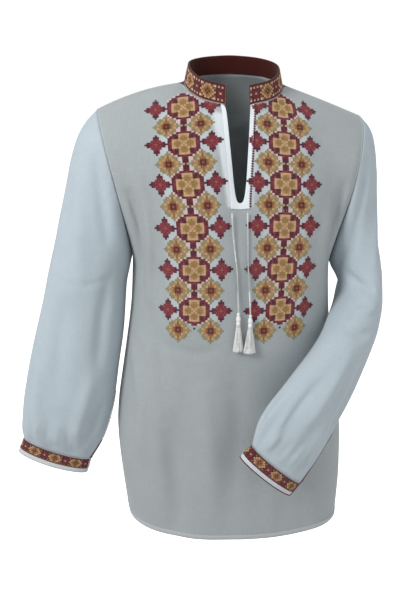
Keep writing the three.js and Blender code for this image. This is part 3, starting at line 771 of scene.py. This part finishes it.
def cloth_piece(node):
    how = BIG_PIECES[node]
    bm = outer_face(node, how["crease"])
    if node.startswith("sleeve"):
        cut_tube(bm)
    mesh = mesh_from(bm, node + "_cloth")
    piece = new_piece(mesh.name, mesh, how["finish"], how["slot"])
    area = unroll(piece)
    bm = bmesh.new()
    bm.from_mesh(mesh)
    even_rows(bm, how["longest"])
    bm.to_mesh(mesh)
    bm.free()
    mesh = subdivide(piece, CLOTH_LEVELS)
    press(mesh, node, near_rim(mesh))
    mark_layers(mesh, DOUBLED.get(node, ()))
    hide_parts(node)
    print(node, "covers", round(area, 3), "square metres with", len(mesh.polygons), "faces")
    return piece


front, back, sleeve_right, sleeve_left = [cloth_piece(node) for node in BIG_PIECES]
for piece in (front, back, sleeve_right, sleeve_left):
    thicken(piece, CLOTH_THICK)

# %% [markdown]
# ## Collar and cuffs
# These are straight bands, folded double. The collar's inside is painted shade in dark red, which
# turns over its top edge: the wall's rim and inner face take the second finish. Two layers with a
# fold between them could be modelled, yet only the outside of a band ever shows.

# %% Bands
BAND_THICK = 2.0 * MM


def band_piece(name, node, finish, crease, painted_shade_lining=None):
    mesh = mesh_from(outer_face(node, crease), name)
    piece = new_piece(name, mesh, finish, "embroidered_band")
    unroll(piece)
    mesh = subdivide(piece, CLOTH_LEVELS)
    mark_layers(mesh)
    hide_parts(node)
    # The second finish, dark red on the inner face and rim, is painted shade.
    if painted_shade_lining:
        mesh.materials.append(painted_shade_lining)
    thicken(piece, BAND_THICK)
    wall = piece.modifiers["wall"]
    wall.material_offset = 1 if painted_shade_lining else 0
    wall.material_offset_rim = 1 if painted_shade_lining else 0
    return piece


collar = band_piece("collar_band", "collar", GROUND_LINEN, 30, PAINTED_SHADE_LINING)
cuff_right = band_piece("cuff_right_band", "cuff_right", SHADED_CUFF_LINEN, 50)
cuff_left = band_piece("cuff_left_band", "cuff_left", SHADED_CUFF_LINEN, 50)

# %% [markdown]
# ## Edges and what lies along them
# Much of the sewing follows an edge. An edge path is the part of a piece's boundary between
# two of its corners, with the direction into the cloth and the cloth's normal at every point.
# A path starts at the corner that lies farthest up and to the wearer's left, so that it is the
# same one each time.

# %% Edge paths


def face_middle(vert):
    """The middle of the faces that meet at a vertex."""
    return sum((face.calc_center_median() for face in vert.link_faces), Vector()) / len(vert.link_faces)


class EdgePath:
    def __init__(self, verts):
        self.points = np.array([vert.co for vert in verts])
        self.normals = np.array([vert.normal for vert in verts])
        middles = [face_middle(vert) for vert in verts]
        tangents = np.gradient(self.points, axis=0)
        tangents /= np.linalg.norm(tangents, axis=1)[:, None]
        inward = np.array(middles) - self.points
        for across in (tangents, self.normals):
            inward -= across * (inward * across).sum(1)[:, None]
        self.inward = inward / np.linalg.norm(inward, axis=1)[:, None]
        steps = np.linalg.norm(np.diff(self.points, axis=0), axis=1)
        self.along = np.r_[0, np.cumsum(steps)]
        self.length = self.along[-1]

    def at(self, distance, values):
        return np.array([np.interp(distance, self.along, values[:, k]) for k in range(3)]).T

    def backwards(self):
        self.points = self.points[::-1]
        self.normals = self.normals[::-1]
        self.inward = self.inward[::-1]
        self.along = self.length - self.along[::-1]
        return self


FIRST_CORNER = Vector((1, 0, 1.5))


def walk_boundary(start, edge, corners):
    verts = [start]
    vert = edge.other_vert(start)
    edges = [edge]
    while vert not in corners and vert is not start:
        verts.append(vert)
        edge = next(e for e in vert.link_edges if e.is_boundary and e is not edge)
        edges.append(edge)
        vert = edge.other_vert(vert)
    return verts + [vert], edges


def is_corner(vert):
    """A boundary point where a single face ends in a turn."""
    if not vert.is_boundary or len(vert.link_faces) > 1:
        return False
    before, after = (edge.other_vert(vert).co - vert.co for edge in vert.link_edges)
    return before.angle(after) < math.radians(135)


def edge_paths(mesh):
    """The boundary of an open mesh, cut at its corners."""
    bm = bmesh.new()
    bm.from_mesh(mesh)
    bm.normal_update()
    corners = [vert for vert in bm.verts if is_corner(vert)]
    corners.sort(key=lambda vert: -vert.co.dot(FIRST_CORNER))
    done = set()
    paths = []
    loose = [vert for vert in bm.verts if vert.is_boundary]
    for vert in corners + loose:
        for edge in vert.link_edges:
            if edge.is_boundary and edge not in done:
                verts, edges = walk_boundary(vert, edge, corners)
                done.update(edges)
                paths.append(EdgePath(verts))
    bm.free()
    return sorted(paths, key=lambda path: -path.length)


def surface(*pieces):
    """A tree of the outer surfaces of some pieces."""
    points = []
    polygons = []
    for piece in pieces:
        first = len(points)
        points += [vert.co.copy() for vert in piece.data.vertices]
        polygons += [[first + k for k in polygon.vertices] for polygon in piece.data.polygons]
    return BVHTree.FromPolygons(points, polygons)


EDGES = {
    piece.name: edge_paths(piece.data)
    for piece in (front, back, sleeve_right, sleeve_left, collar, cuff_right, cuff_left)
}
for name, paths in EDGES.items():
    print(name, "edges of", [round(path.length, 3) for path in paths])

# %% [markdown]
# ## Laid strips
# The hem is turned up, and the neck slit is faced with a white strip on each side and across
# its foot. Each strip is a grid that is bent onto the cloth and gets its own small thickness.

# %% Hems
MEASURED = 20  # steps in which a strip's length is measured


def laid_strip(name, place, cells, finish, slot, thickness):
    """A grid of cells, each of whose points goes to place(u, v), u and v from 0 to 1."""
    bm = bmesh.new()
    layer = bm.loops.layers.uv.new("cloth")
    bmesh.ops.create_grid(bm, x_segments=cells[0], y_segments=cells[1], size=0.5)
    flat = {vert: (vert.co.x + 0.5, vert.co.y + 0.5) for vert in bm.verts}
    for vert in bm.verts:
        vert.co = place(*flat[vert])
    bm.normal_update()
    across = (place(0.5, 1) - place(0.5, 0)).length
    steps = [place(k / MEASURED, 0) for k in range(MEASURED + 1)]
    along = sum((after - before).length for before, after in zip(steps, steps[1:]))
    for face in bm.faces:
        for loop in face.loops:
            loop[layer].uv = (flat[loop.vert][0] * along, flat[loop.vert][1] * across)
    mesh = mesh_from(bm, name)
    piece = new_piece(name, mesh, finish, slot)
    mark_layers(mesh)
    thicken(piece, thickness, 0)
    return piece


HEM = {"deep": 9 * MM, "thick": 0.8 * MM, "lift": 0.25 * MM, "cells": (240, 3)}
FOLD_LINEN = linen("turned linen", srgb(172, 178, 180), srgb(194, 200, 202), srgb(200, 206, 208))


def lowest(paths):
    return min(paths, key=lambda path: path.points[:, 2].mean())


def hem_strip(name, cloth, outward):
    path = lowest(EDGES[cloth.name])
    if (path.points[-1, 0] - path.points[0, 0]) * outward < 0:
        path.backwards()
    tree = surface(cloth)

    def place(u, v):
        at = u * path.length
        point = path.at(at, path.points) + path.at(at, path.inward) * HEM["deep"] * v
        near, normal, _, _ = tree.find_nearest(Vector(point))
        return near + normal * HEM["lift"]

    return laid_strip(name, place, HEM["cells"], FOLD_LINEN, "linen_body", HEM["thick"])


hem_front = hem_strip("front_hem", front, 1)
hem_back = hem_strip("back_hem", back, -1)

# %% Slit facing
FACING = {"lift": 1.25 * MM, "thick": 0.9 * MM, "levels": 3}


def face_slit():
    mesh = mesh_from(outer_face("slit_facing", 50), "slit_binding")
    piece = new_piece("slit_binding", mesh, BINDING_LINEN, "linen_facing")
    unroll(piece)
    mesh = subdivide(piece, FACING["levels"])
    tree = surface(front)
    for vert in mesh.vertices:
        near, normal, _, _ = tree.find_nearest(vert.co)
        vert.co = near + normal * FACING["lift"]
    mark_layers(mesh)
    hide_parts("slit_facing")
    thicken(piece, FACING["thick"])
    return piece


slit_binding = face_slit()
EDGES["slit_binding"] = edge_paths(slit_binding.data)
print("facing edges of", [round(path.length, 3) for path in EDGES["slit_binding"]])

# %% [markdown]
# ## Cross-stitch
# A cross-stitch is two short threads laid over each other in an X, so it is a small cushion:
# high in its middle, lower at its four corners, and lowest halfway along its sides. Each one
# fills a cell of a lattice that lies on the cloth. The pattern could be painted on the cloth,
# but only raised stitches catch the light as thread does. An object for each would be far too
# slow, so the stitches of a colour become one mesh, with eight triangles each.

# %% Stitches on a lattice
sewn = {letter: [] for letter in THREADS}
STITCH = {"corner": 0.3 * MM, "side": 0.1 * MM, "crown": 0.72 * MM, "fill": 0.97}


def lay_stitches(letter, corners, normals, rise=1):
    """Adds a stitch for each four corners, k by 4 by 3, with the cloth's normals there."""
    keep = np.isfinite(corners).all((1, 2))
    corners, normals = corners[keep], normals[keep]
    if not len(corners):
        return
    middle = corners.mean(1)
    normal = normals.mean(1)
    facing = np.cross(corners[:, 1] - corners[:, 0], corners[:, 2] - corners[:, 1])
    if (facing * normal).sum() < 0:
        corners, normals = corners[:, ::-1], normals[:, ::-1]
    corners = middle[:, None] + (corners - middle[:, None]) * STITCH["fill"]
    tips = corners + normals * STITCH["corner"] * rise
    sides = (corners + np.roll(corners, -1, 1)) / 2 + normals * STITCH["side"] * rise
    ring = np.stack([tips, sides], 2).reshape(len(corners), 8, 3)
    crown = middle + normal * STITCH["crown"] * rise
    sewn[letter].append(np.concatenate([crown[:, None], ring], 1))


def sew_cells(places, normals, cells):
    """cells gives a letter for some (column, row) of a lattice of corners."""
    for letter in sorted(set(cells.values())):
        at = np.array([cell for cell, here in cells.items() if here == letter])
        at = at[(at >= 0).all(1) & (at[:, 0] < places.shape[0] - 1) & (at[:, 1] < places.shape[1] - 1)]
        if not len(at):
            continue
        turns = [(0, 0), (1, 0), (1, 1), (0, 1)]
        corners = np.stack([places[at[:, 0] + a, at[:, 1] + b] for a, b in turns], 1)
        sides = np.stack([normals[at[:, 0] + a, at[:, 1] + b] for a, b in turns], 1)
        lay_stitches(letter, corners, sides)


# %% [markdown]
# ## The charts
# Charts are how such patterns are handed down: a letter is a thread, a dot is bare cloth. Each
# motif is drawn as one quarter, from its middle outwards, and mirrored both ways: a rosette
# that holds a gold cross of four lobes, small diamonds at its sides, eight-petalled flowers
# between two rosettes, and the chain that joins them. A square of a chart is sewn with four
# stitches, so its steps show.

# %% Motifs
ROSETTE = [
    "PGSSSPRM",
    "GPSSGPMM",
    "SSPGPPMD",
    "SSGDDRDM",
    "SGPDDMDC",
    "PPPRDMC.",
    "RMDDC...",
    "DMC.....",
]
DIAMOND = [
    "TRMMDD",
    "RMRMD.",
    "MRM...",
    "MM....",
    "DD....",
    "D.....",
]
FLOWER = [
    "TKBGGOO",
    "KKBGPO.",
    "BBPGO..",
    "BGGOO..",
    "BPOO...",
    "OO.....",
    "O......",
]
CHAIN = ["MP", "DD", "DDCC"]
BEAD = ["D"]
BAND = [
    "TKBSPKMP",
    "KBSPKDMD",
    "BSPKBKDM",
    "SPKGCKPD",
    "PKBCKPKB",
]


def motif(cells, chart, column, row):
    """Adds a mirrored quarter chart where the cloth is still bare."""
    added = {}
    for y, line in enumerate(chart):
        for x, letter in enumerate(line):
            for here in {(column + a * x, row + b * y) for a in (1, -1) for b in (1, -1)}:
                if letter != "." and here not in cells:
                    added[here] = letter
    cells.update(added)


# %% [markdown]
# ## The two bands of the chest
# The bands run down beside the slit, from under the collar. Their rows are found on the cloth
# itself: from the band's middle a row walks outwards in equal steps along the surface.

# %% Chest bands
REPEAT = 20
ROSETTES = 6
DIAMOND_OUT = 13
FLOWER_OUT = 8
STITCH_WIDE = 1.66 * MM  # two stitches to a square of the chart, each way
HALF_BAND = 38  # stitches
# Where the middle of each rosette lies, x and z in millimetres.
BAND_MIDDLES = {
    "right": [(-83, -33), (-85, -83), (-80, -142), (-74, -210), (-71, -278), (-71, -347)],
    "left": [(71, -35), (70, -85), (71, -144), (70, -209), (69, -279), (69, -349)],
}
# How far the outer side of a row hangs lower than its inner side, for each millimetre across.
BAND_FALL = {"right": [0.1, 0.08, 0.06, 0.05, 0.03, 0], "left": [0.14, 0.11, 0.08, 0.05, 0.03, 0]}
TOP_ROW = -9
LAST_ROW = REPEAT * ROSETTES - 2


def chest_chart():
    cells = {}
    half = REPEAT // 2
    for k in range(ROSETTES):
        motif(cells, ROSETTE, 0, REPEAT * k)
        motif(cells, DIAMOND, -DIAMOND_OUT, REPEAT * k)
        motif(cells, DIAMOND, DIAMOND_OUT, REPEAT * k)
    for k in range(ROSETTES - 1):
        motif(cells, CHAIN, 0, REPEAT * k + half)
    motif(cells, BEAD, 0, REPEAT * ROSETTES - half - 1)
    for k in range(ROSETTES):
        motif(cells, FLOWER, -FLOWER_OUT, REPEAT * k + half)
        motif(cells, FLOWER, FLOWER_OUT, REPEAT * k + half)
    return cells


def stretched_ends(values):
    values = np.array(values, float)
    return np.vstack([2 * values[0] - values[1], values, 2 * values[-1] - values[-2]])


def chest_lattice(tree, middles, falls, side):
    ends = stretched_ends([(*middle, fall) for middle, fall in zip(middles, falls)])
    repeats = np.arange(-1, ROSETTES + 1)
    rows = np.arange(2 * TOP_ROW - 1, 2 * LAST_ROW + 2)
    places = np.full((2 * HALF_BAND + 1, len(rows), 3), np.nan)
    normals = np.zeros_like(places)
    for j, row in enumerate(rows):
        x, z, fall = (np.interp(row / (2 * REPEAT), repeats, ends[:, k]) for k in range(3))
        for way in (-1, 1):
            here = x * MM
            step = 0
            for k in range(HALF_BAND + 1):
                start = here
                height = z * MM - fall * side * (start - x * MM)
                hit, normal, _, _ = seen_from(tree, -1, start, height)
                if not hit:
                    break
                here = start + way * step * abs(normal.y) / math.hypot(normal.x, normal.y)
                height = z * MM - fall * side * (here - x * MM)
                hit, normal, _, _ = seen_from(tree, -1, here, height)
                if not hit:
                    break
                places[HALF_BAND + way * k, j] = hit
                normals[HALF_BAND + way * k, j] = normal
                step = STITCH_WIDE
    return places, normals


def four_each(cells, column, row):
    """Each square of a chart becomes four stitches; its square 0, 0 lands at column, row."""
    return {
        (column + 2 * x + a, row + 2 * y + b): letter
        for (x, y), letter in cells.items() for a in (0, 1) for b in (0, 1)
    }


def sew_chest():
    tree = surface(front, slit_binding)
    chart = four_each(chest_chart(), HALF_BAND - 1, -2 * TOP_ROW)
    for name, middles in BAND_MIDDLES.items():
        side = -1 if name == "right" else 1
        places, normals = chest_lattice(tree, middles, BAND_FALL[name], side)
        sew_cells(places, normals, chart)
    print("the chest has", sum(len(part) for parts in sewn.values() for part in parts), "stitches")


sew_chest()

# %% [markdown]
# ## Embroidered bands
# Collar and cuffs carry a border of flowers and stepped diamonds. The lattice runs between the
# band's two long edges. On the cuffs it leaves a white margin at the wrist.

# %% Collar and cuffs
BORDERS = {
    "collar_band": {"cell": 1.55 * MM, "margin": 0.6 * MM, "rows": 9, "edge": ["D", "K"]},
    "cuff_right_band": {"cell": 1.38 * MM, "margin": 8.4 * MM, "rows": 7, "edge": ["K", "B"]},
    "cuff_left_band": {"cell": 1.38 * MM, "margin": 8.4 * MM, "rows": 7, "edge": ["K", "M"]},
}
BORDER_REPEAT = 14


def rails(piece):
    """The band's lower and upper long edges, running the same way."""
    low, high = sorted(EDGES[piece.name][:2], key=lambda path: path.points[:, 2].mean())
    apart = np.linalg.norm(low.points[0] - high.points[0])
    if apart > np.linalg.norm(low.points[0] - high.points[-1]):
        high.backwards()
    return low, high


def border_lattice(piece, cell, margin, rows):
    low, high = rails(piece)
    columns = int((low.length + high.length) / 2 / cell)
    tree = surface(piece)
    places = np.zeros((columns + 1, rows + 1, 3))
    normals = np.zeros_like(places)
    for i in range(columns + 1):
        f = i / columns
        foot = low.at(f * low.length, low.points)
        head = high.at(f * high.length, high.points)
        reach = (head - foot) / np.linalg.norm(head - foot)
        for j in range(rows + 1):
            near, normal, _, _ = tree.find_nearest(Vector(foot + reach * (margin + j * cell)))
            places[i, j] = near
            normals[i, j] = normal
    return places, normals


def border_chart(columns, rows, edge):
    cells = {}
    middle = columns // 2
    for k in range(-columns // BORDER_REPEAT, columns // BORDER_REPEAT + 1):
        motif(cells, BAND, middle + k * BORDER_REPEAT, rows // 2)
    for i in range(columns):
        cells[i, 0] = edge[i % 2]
        cells[i, rows - 1] = edge[0]
    return {cell: letter for cell, letter in cells.items() if 0 <= cell[0] < columns}


def sew_border(piece):
    border = BORDERS[piece.name]
    places, normals = border_lattice(piece, border["cell"], border["margin"], 2 * border["rows"])
    columns = (len(places) - 1) // 2
    chart = border_chart(columns, border["rows"], border["edge"])
    sew_cells(places, normals, four_each(chart, 0, 0))
    print(piece.name, "has", columns, "squares round it")


for piece in (collar, cuff_right, cuff_left):
    sew_border(piece)

# %% [markdown]
# ## Rows of sewing
# A row of sewing is a line of small raised stitches that follows an edge. White rows hold the
# hems and seams, and dark red ones edge the slit and the openings above the cuffs. The table
# gives each kind of row in millimetres: how far into the cloth it lies, how long and wide a
# stitch is, and the gap after it. `rise` is how high it stands against a cross-stitch. The rows
# use the same small cushion as the cross-stitches, drawn out, so no second shape is needed.

# %% Sewing rows
SEWING = {
    "hem": {"thread": "W", "inset": 7.2, "stitch": 2.1, "gap": 0.9, "width": 0.6, "rise": 0.7},
    "seam": {"thread": "W", "inset": 2.6, "stitch": 1.9, "gap": 1.1, "width": 0.5, "rise": 0.5},
    "collar foot": {"thread": "C", "inset": 0.5, "stitch": 1.7, "gap": 0.5, "width": 1, "rise": 1},
    "collar top": {"thread": "K", "inset": 0.7, "stitch": 1.9, "gap": 0.2, "width": 1.4, "rise": 1},
    "picots": {"thread": "D", "inset": -1.1, "stitch": 2.6, "gap": 1.2, "width": 2.8, "rise": 1.3},
    "picot foot": {"thread": "M", "inset": 0.7, "stitch": 1.6, "gap": 2.2, "width": 1.4, "rise": 1},
    "opening": {"thread": "D", "inset": 1.3, "stitch": 2.2, "gap": 0.5, "width": 2.8, "rise": 3.2},
    "opening foot": {"thread": "M", "inset": 3.4, "stitch": 1.4, "gap": 1.4, "width": 1.4, "rise": 1.2},
    "above opening": {"thread": "D", "inset": 0, "stitch": 2.4, "gap": 0.5, "width": 2.4, "rise": 3},
    "wrist": {"thread": "D", "inset": 0.9, "stitch": 2.2, "gap": 0.1, "width": 1.8, "rise": 1.6},
}
LONG_SEAM = 0.3


def sewing_sizes(kind):
    return [SEWING[kind][size] * MM for size in ("inset", "stitch", "gap", "width")]


def sew_row(kind, path, tree):
    """Lays a row of stitches along an edge path."""
    inset, stitch, gap, width = sewing_sizes(kind)
    count = int(path.length / (stitch + gap))
    first = (stitch + gap) * np.arange(count)
    corners = np.zeros((count, 4, 3))
    normals = np.zeros((count, 4, 3))
    for k, (along, off) in enumerate([(0, -0.5), (1, -0.5), (1, 0.5), (0, 0.5)]):
        at = first + along * stitch
        spots = path.at(at, path.points) + path.at(at, path.inward) * (inset + off * width)
        for i, spot in enumerate(spots):
            near, normal, _, _ = tree.find_nearest(Vector(spot))
            corners[i, k] = near
            normals[i, k] = normal
    lay_stitches(SEWING[kind]["thread"], corners, normals, SEWING[kind]["rise"])


def sew_line(kind, points, tree):
    """Lays a row of stitches on the cloth along a line through a few points, in metres."""
    _, stitch, gap, width = sewing_sizes(kind)
    line, _ = evenly(through([Vector(point) for point in points], 8), stitch + gap)
    on_cloth = [tree.find_nearest(Vector(point))[:2] for point in line]
    spots = np.array([near for near, _ in on_cloth])
    turned = np.array([normal for _, normal in on_cloth])
    along = np.gradient(spots, axis=0)
    along *= stitch / 2 / np.linalg.norm(along, axis=1)[:, None]
    across = np.cross(along, turned)
    across *= width / 2 / np.linalg.norm(across, axis=1)[:, None]
    ways = [(-1, -1), (1, -1), (1, 1), (-1, 1)]
    corners = np.stack([spots + a * along + b * across for a, b in ways], 1)
    normals = np.repeat(turned[:, None], 4, 1)
    lay_stitches(SEWING[kind]["thread"], corners, normals, SEWING[kind]["rise"])


def sew_edges():
    for piece, hem in ((front, hem_front), (back, hem_back)):
        tree = surface(piece, hem)
        paths = EDGES[piece.name]
        bottom = lowest(paths)
        sew_row("hem", bottom, tree)
        for path in paths:
            if path is not bottom and path.length > LONG_SEAM:
                sew_row("seam", path, tree)
    foot, head = rails(collar)
    sew_row("collar foot", foot, surface(collar))
    sew_row("collar top", head, surface(collar))


sew_edges()

# %% Dark red edgings
ABOVE_OPENING = [
    (-0.234, -0.026, -0.621), (-0.222, -0.02, -0.594),
    (-0.212, -0.014, -0.56), (-0.206, -0.01, -0.53),
]
SLIT_SIDES = (0.1, 0.2)  # between which the length of a side of the slit's facing lies


def edge_slit():
    """Small points in dark red along the facing's outer edge on the wearer's left."""
    least, most = SLIT_SIDES
    sides = [path for path in EDGES["slit_binding"] if least < path.length < most]
    side = max(sides, key=lambda path: path.points[:, 0].mean())
    for kind in ("picots", "picot foot"):
        sew_row(kind, side, surface(front, slit_binding))


def opening_path(name):
    """The edge of a sleeve's opening: the shorter of the two edges at the cuff."""
    low = sorted(EDGES[name], key=lambda path: path.points[:, 2].min())[:2]
    return min(low, key=lambda path: path.length)


def edge_openings():
    """Edges both openings, and on the left cuff the wrist and the two ends."""
    for piece in (sleeve_right, sleeve_left):
        path = opening_path(piece.name)
        print(piece.name, "opens over", round(path.length, 3), "m")
        for kind in ("opening", "opening foot"):
            sew_row(kind, path, surface(piece))
    sew_line("above opening", ABOVE_OPENING, surface(sleeve_right))
    wrist, _ = rails(cuff_left)
    for path in [wrist] + EDGES["cuff_left_band"][2:]:
        sew_row("wrist", path, surface(cuff_left))


edge_slit()
edge_openings()

# %% Gather the stitches by colour
FAN = np.array([(0, k + 1, (k + 1) % 8 + 1) for k in range(8)])


def stitch_mesh(letter, parts):
    stitches = np.concatenate(parts)
    name, _ = THREADS[letter]
    faces = (FAN[None] + 9 * np.arange(len(stitches))[:, None, None]).reshape(-1, 3)
    mesh = bpy.data.meshes.new(name + "_stitches")
    mesh.from_pydata(stitches.reshape(-1, 3).tolist(), [], faces.tolist())
    slot = "linen_facing" if letter == "W" else "embroidered_band"
    piece = new_piece(name + "_stitches", mesh, THREAD_FINISH[letter], slot)
    mesh.polygons.foreach_set("use_smooth", [False] * len(mesh.polygons))
    return piece


stitch_pieces = [stitch_mesh(letter, parts) for letter, parts in sewn.items() if parts]
for piece in stitch_pieces:
    print(piece.name, "has", len(piece.data.polygons), "triangles")

# %% [markdown]
# ## The ties
# Two ties hang from the foot of the slit. Each is a cord of two plies twisted round each other
# and ends in a tassel. A ply is a disc that is extruded along its own winding line, and the
# pair of them follows the tie's route. A single round tube would be simpler, but it would look
# like wire: the twist is what shows that it is thread.

# %% Tie routes
TIE_ROUTES = {
    "right": [
        (-13.4, -119, -186.2), (-13.2, -119.6, -194), (-12.6, -120.2, -205), (-11.8, -120.8, -216),
        (-10.7, -121, -227), (-9.4, -121, -238), (-8, -120.7, -249), (-6.6, -120.2, -260),
        (-5.4, -119.8, -271), (-4.3, -119.3, -282), (-3.4, -118.9, -293), (-2.6, -118.6, -304),
        (-2, -118.5, -315), (-1.5, -118.4, -326), (-1, -118.3, -337), (-0.7, -118.3, -349),
    ],
    "left": [
        (10.6, -119, -186.2), (10.8, -119.6, -195), (11, -120.2, -207), (11.3, -120.7, -219),
        (11.7, -120.9, -231), (12.1, -120.8, -243), (12.5, -120.4, -255), (13, -120, -267),
        (13.7, -119.6, -279), (14.5, -119.2, -291), (15.4, -119, -303), (16.3, -118.9, -315),
        (17.2, -118.8, -327), (18, -118.8, -339), (18.7, -118.8, -353),
    ],
}
INSIDE_HEAD = 14 * MM
PLY = {"radius": 0.74 * MM, "off": 0.56 * MM, "turn": 3.6 * MM, "step": 0.45 * MM, "sides": 6}


def extrude_along(bm, line, radius, sides):
    """A closed tube: a disc extruded from point to point of a line."""
    turns = [Vector(b - a).to_track_quat("Z", "X") for a, b in zip(line, line[1:])]
    turns.append(turns[-1])
    stops = [quat.to_matrix().to_4x4() for quat in turns]
    for stop, point in zip(stops, line):
        stop.translation = Vector(point)
    disc = bmesh.ops.create_circle(bm, cap_ends=True, segments=sides, radius=radius, matrix=stops[0])
    cap = disc["verts"][0].link_faces[0]
    for before, after in zip(stops, stops[1:]):
        grown = bmesh.ops.extrude_face_region(bm, geom=[cap])["geom"]
        cap = next(part for part in grown if isinstance(part, bmesh.types.BMFace))
        moved = [part for part in grown if isinstance(part, bmesh.types.BMVert)]
        bmesh.ops.transform(bm, matrix=after @ before.inverted(), verts=moved)


def tie_cord(name):
    route = [Vector(point) * MM for point in TIE_ROUTES[name]]
    route.append(route[-1] - Vector((0, 0, INSIDE_HEAD)))
    middle, length = evenly(through(route, 8), PLY["step"])
    bm = bmesh.new()
    turn = 2 * math.pi * np.arange(len(middle)) * PLY["step"] / PLY["turn"]
    for phase in (0, math.pi):
        off = np.stack([np.cos(turn + phase), np.sin(turn + phase), 0 * turn], 1) * PLY["off"]
        extrude_along(bm, middle + off, PLY["radius"], PLY["sides"])
    bmesh.ops.recalc_face_normals(bm, faces=bm.faces)
    mesh = mesh_from(bm, "tie_" + name)
    piece = new_piece(mesh.name, mesh, THREAD_FINISH["W"], "tie_thread")
    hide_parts("cord_" + name)
    print(piece.name, "is", round(length, 4), "long")
    return piece, middle, length


# %% [markdown]
# ## The tassels
# A tassel is a bundle of threads folded over the cord's knot and wound tight below it: a small
# ball, a neck, a skirt head, and the loose ends. The head is a profile spun round the cord's
# line. The ends are thin three-sided threads, each with its own bend. Hair could make them, but
# hair isn't a mesh and would be lost when the shirt is handed on.

# %% Tassels
# The head's profile: radius and height in millimetres, from the top down.
HEAD = [
    (0, 0), (1.7, -0.2), (2.5, -1.6), (2.5, -3), (1.7, -4.4), (2.9, -6.4), (3.8, -9.4), (3.7, -12.6),
    (2.8, -14.8), (3.4, -16.4), (3.5, -19.4), (3, -21), (0, -21),
]
HEAD_SIDES = 24
ENDS = {"count": 220, "root": 17, "long": 68.2, "radius": 0.52, "rows": 6}
TIE_SPREAD = {"right": 3.6, "left": 4.6}
BELOW_CORD = 0.3


def tassel_head(bm):
    profile = [Vector((radius * MM, 0, depth * MM)) for radius, depth in HEAD]
    line = through(profile, 3)
    verts = [bm.verts.new(point) for point in line]
    edges = [bm.edges.new(pair) for pair in zip(verts, verts[1:])]
    bmesh.ops.spin(
        bm, geom=verts + edges, cent=(0, 0, 0), axis=(0, 0, 1), angle=2 * math.pi,
        steps=HEAD_SIDES, use_merge=True,
    )
    bmesh.ops.remove_doubles(bm, verts=bm.verts, dist=0.01 * MM)
    bmesh.ops.recalc_face_normals(bm, faces=bm.faces)


def tassel_ends(spread, seed):
    """Points and triangles of the loose ends, below a cord's end at the origin."""
    rng = np.random.default_rng(seed)
    count, rows = ENDS["count"], ENDS["rows"]
    angle = rng.uniform(0, 2 * math.pi, count)
    out = np.sqrt(rng.uniform(0, 1, count))
    root = np.stack([2.6 * out * np.cos(angle), 2.6 * out * np.sin(angle)], 1)
    foot = np.stack([2.3 * spread * out * np.cos(angle), 3.4 * out * np.sin(angle)], 1)
    foot += rng.normal(0, 0.35, foot.shape)
    low = ENDS["long"] - rng.uniform(0, 3.2, count) - 0.16 * np.abs(foot[:, 0])
    f = np.linspace(0, 1, rows)[None, :, None]
    fan = f ** 1.25
    bend = np.sin(np.pi * f) * rng.normal(0, 0.5, (count, 1, 2))
    across = root[:, None] * (1 - fan) + foot[:, None] * fan + bend
    down = -(ENDS["root"] + (low - ENDS["root"])[:, None] * f[:, :, 0])
    middle = np.concatenate([across, down[:, :, None]], 2)
    corner = 2 * math.pi * np.arange(3) / 3
    ring = np.stack([np.cos(corner), np.sin(corner), 0 * corner], 1) * ENDS["radius"]
    points = (middle[:, :, None] + ring[None, None]) * MM
    quads = [
        (3 * r + k, 3 * r + (k + 1) % 3, 3 * r + 3 + (k + 1) % 3, 3 * r + 3 + k)
        for r in range(rows - 1) for k in range(3)
    ]
    one = [(0, 2, 1), (3 * rows - 3, 3 * rows - 2, 3 * rows - 1)]
    one += [tri[::-1] for a, b, c, d in quads for tri in ((a, b, c), (a, c, d))]
    faces = np.array(one)[None] + (3 * rows * np.arange(count))[:, None, None]
    return points.reshape(-1, 3), faces.reshape(-1, 3)


def tassel(name, seed):
    bm = bmesh.new()
    tassel_head(bm)
    points, faces = tassel_ends(TIE_SPREAD[name], seed)
    ends = bpy.data.meshes.new("ends")
    ends.from_pydata(points.tolist(), [], faces.tolist())
    bm.from_mesh(ends)
    bpy.data.meshes.remove(ends)
    top = Vector(TIE_ROUTES[name][-1]) * MM - Vector((0, 0, BELOW_CORD * MM))
    bmesh.ops.translate(bm, verts=bm.verts, vec=top)
    mesh = mesh_from(bm, "tassel_" + name)
    piece = new_piece(name + "_tassel", mesh, THREAD_FINISH["W"], "tie_thread")
    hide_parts("tassel_" + name)
    return piece


# %% Hang the ties
PATH_EVERY = 8  # points of the cord's line to one point of its coarser path
SEEDS = {"right": 3, "left": 8}

for name, seed in SEEDS.items():
    piece, middle, length = tie_cord(name)
    fringe = tassel(name, seed)
    tuple(middle[0])
    middle[::PATH_EVERY].tolist() + [middle[-1].tolist()]

# %% [markdown]
# ## What each cloth was cut to
# The size that every sheet of cloth was cut to is printed. The widths and lengths are
# read off the pieces' own cloth maps, which are the patterns they were cut by. They could be
# measured by hand and typed in, but then they would no longer follow the cloth.

# %% Sheets
SPARE = 2  # millimetres that a cut is rounded up by


def cloth_area(piece):
    return sum(polygon.area for polygon in piece.data.polygons)


def declare_band(piece):
    """A band is cut straight: as long as its two edges are on the whole."""
    length = sum(path.length for path in rails(piece)) / 2
    flat = (round(length, 4), round(cloth_area(piece) / length, 4))
    print(piece.name, "was cut", flat[0], "by", flat[1], "m, folded double")


def declare(piece):
    size = np.ptp(numbers(piece.data.uv_layers["cloth"].data, "uv", 2), axis=0)
    width, length = (math.ceil(float(side) * 1000 + SPARE) / 1000 for side in size)
    area = min(cloth_area(piece), width * length)
    print(piece.name, "was cut from", width, "by", length, "m, and covers", round(area, 4))


declare(front)
declare(back)
declare(sleeve_right)
declare(sleeve_left)
declare_band(collar)
declare_band(cuff_right)
declare_band(cuff_left)
declare(slit_binding)
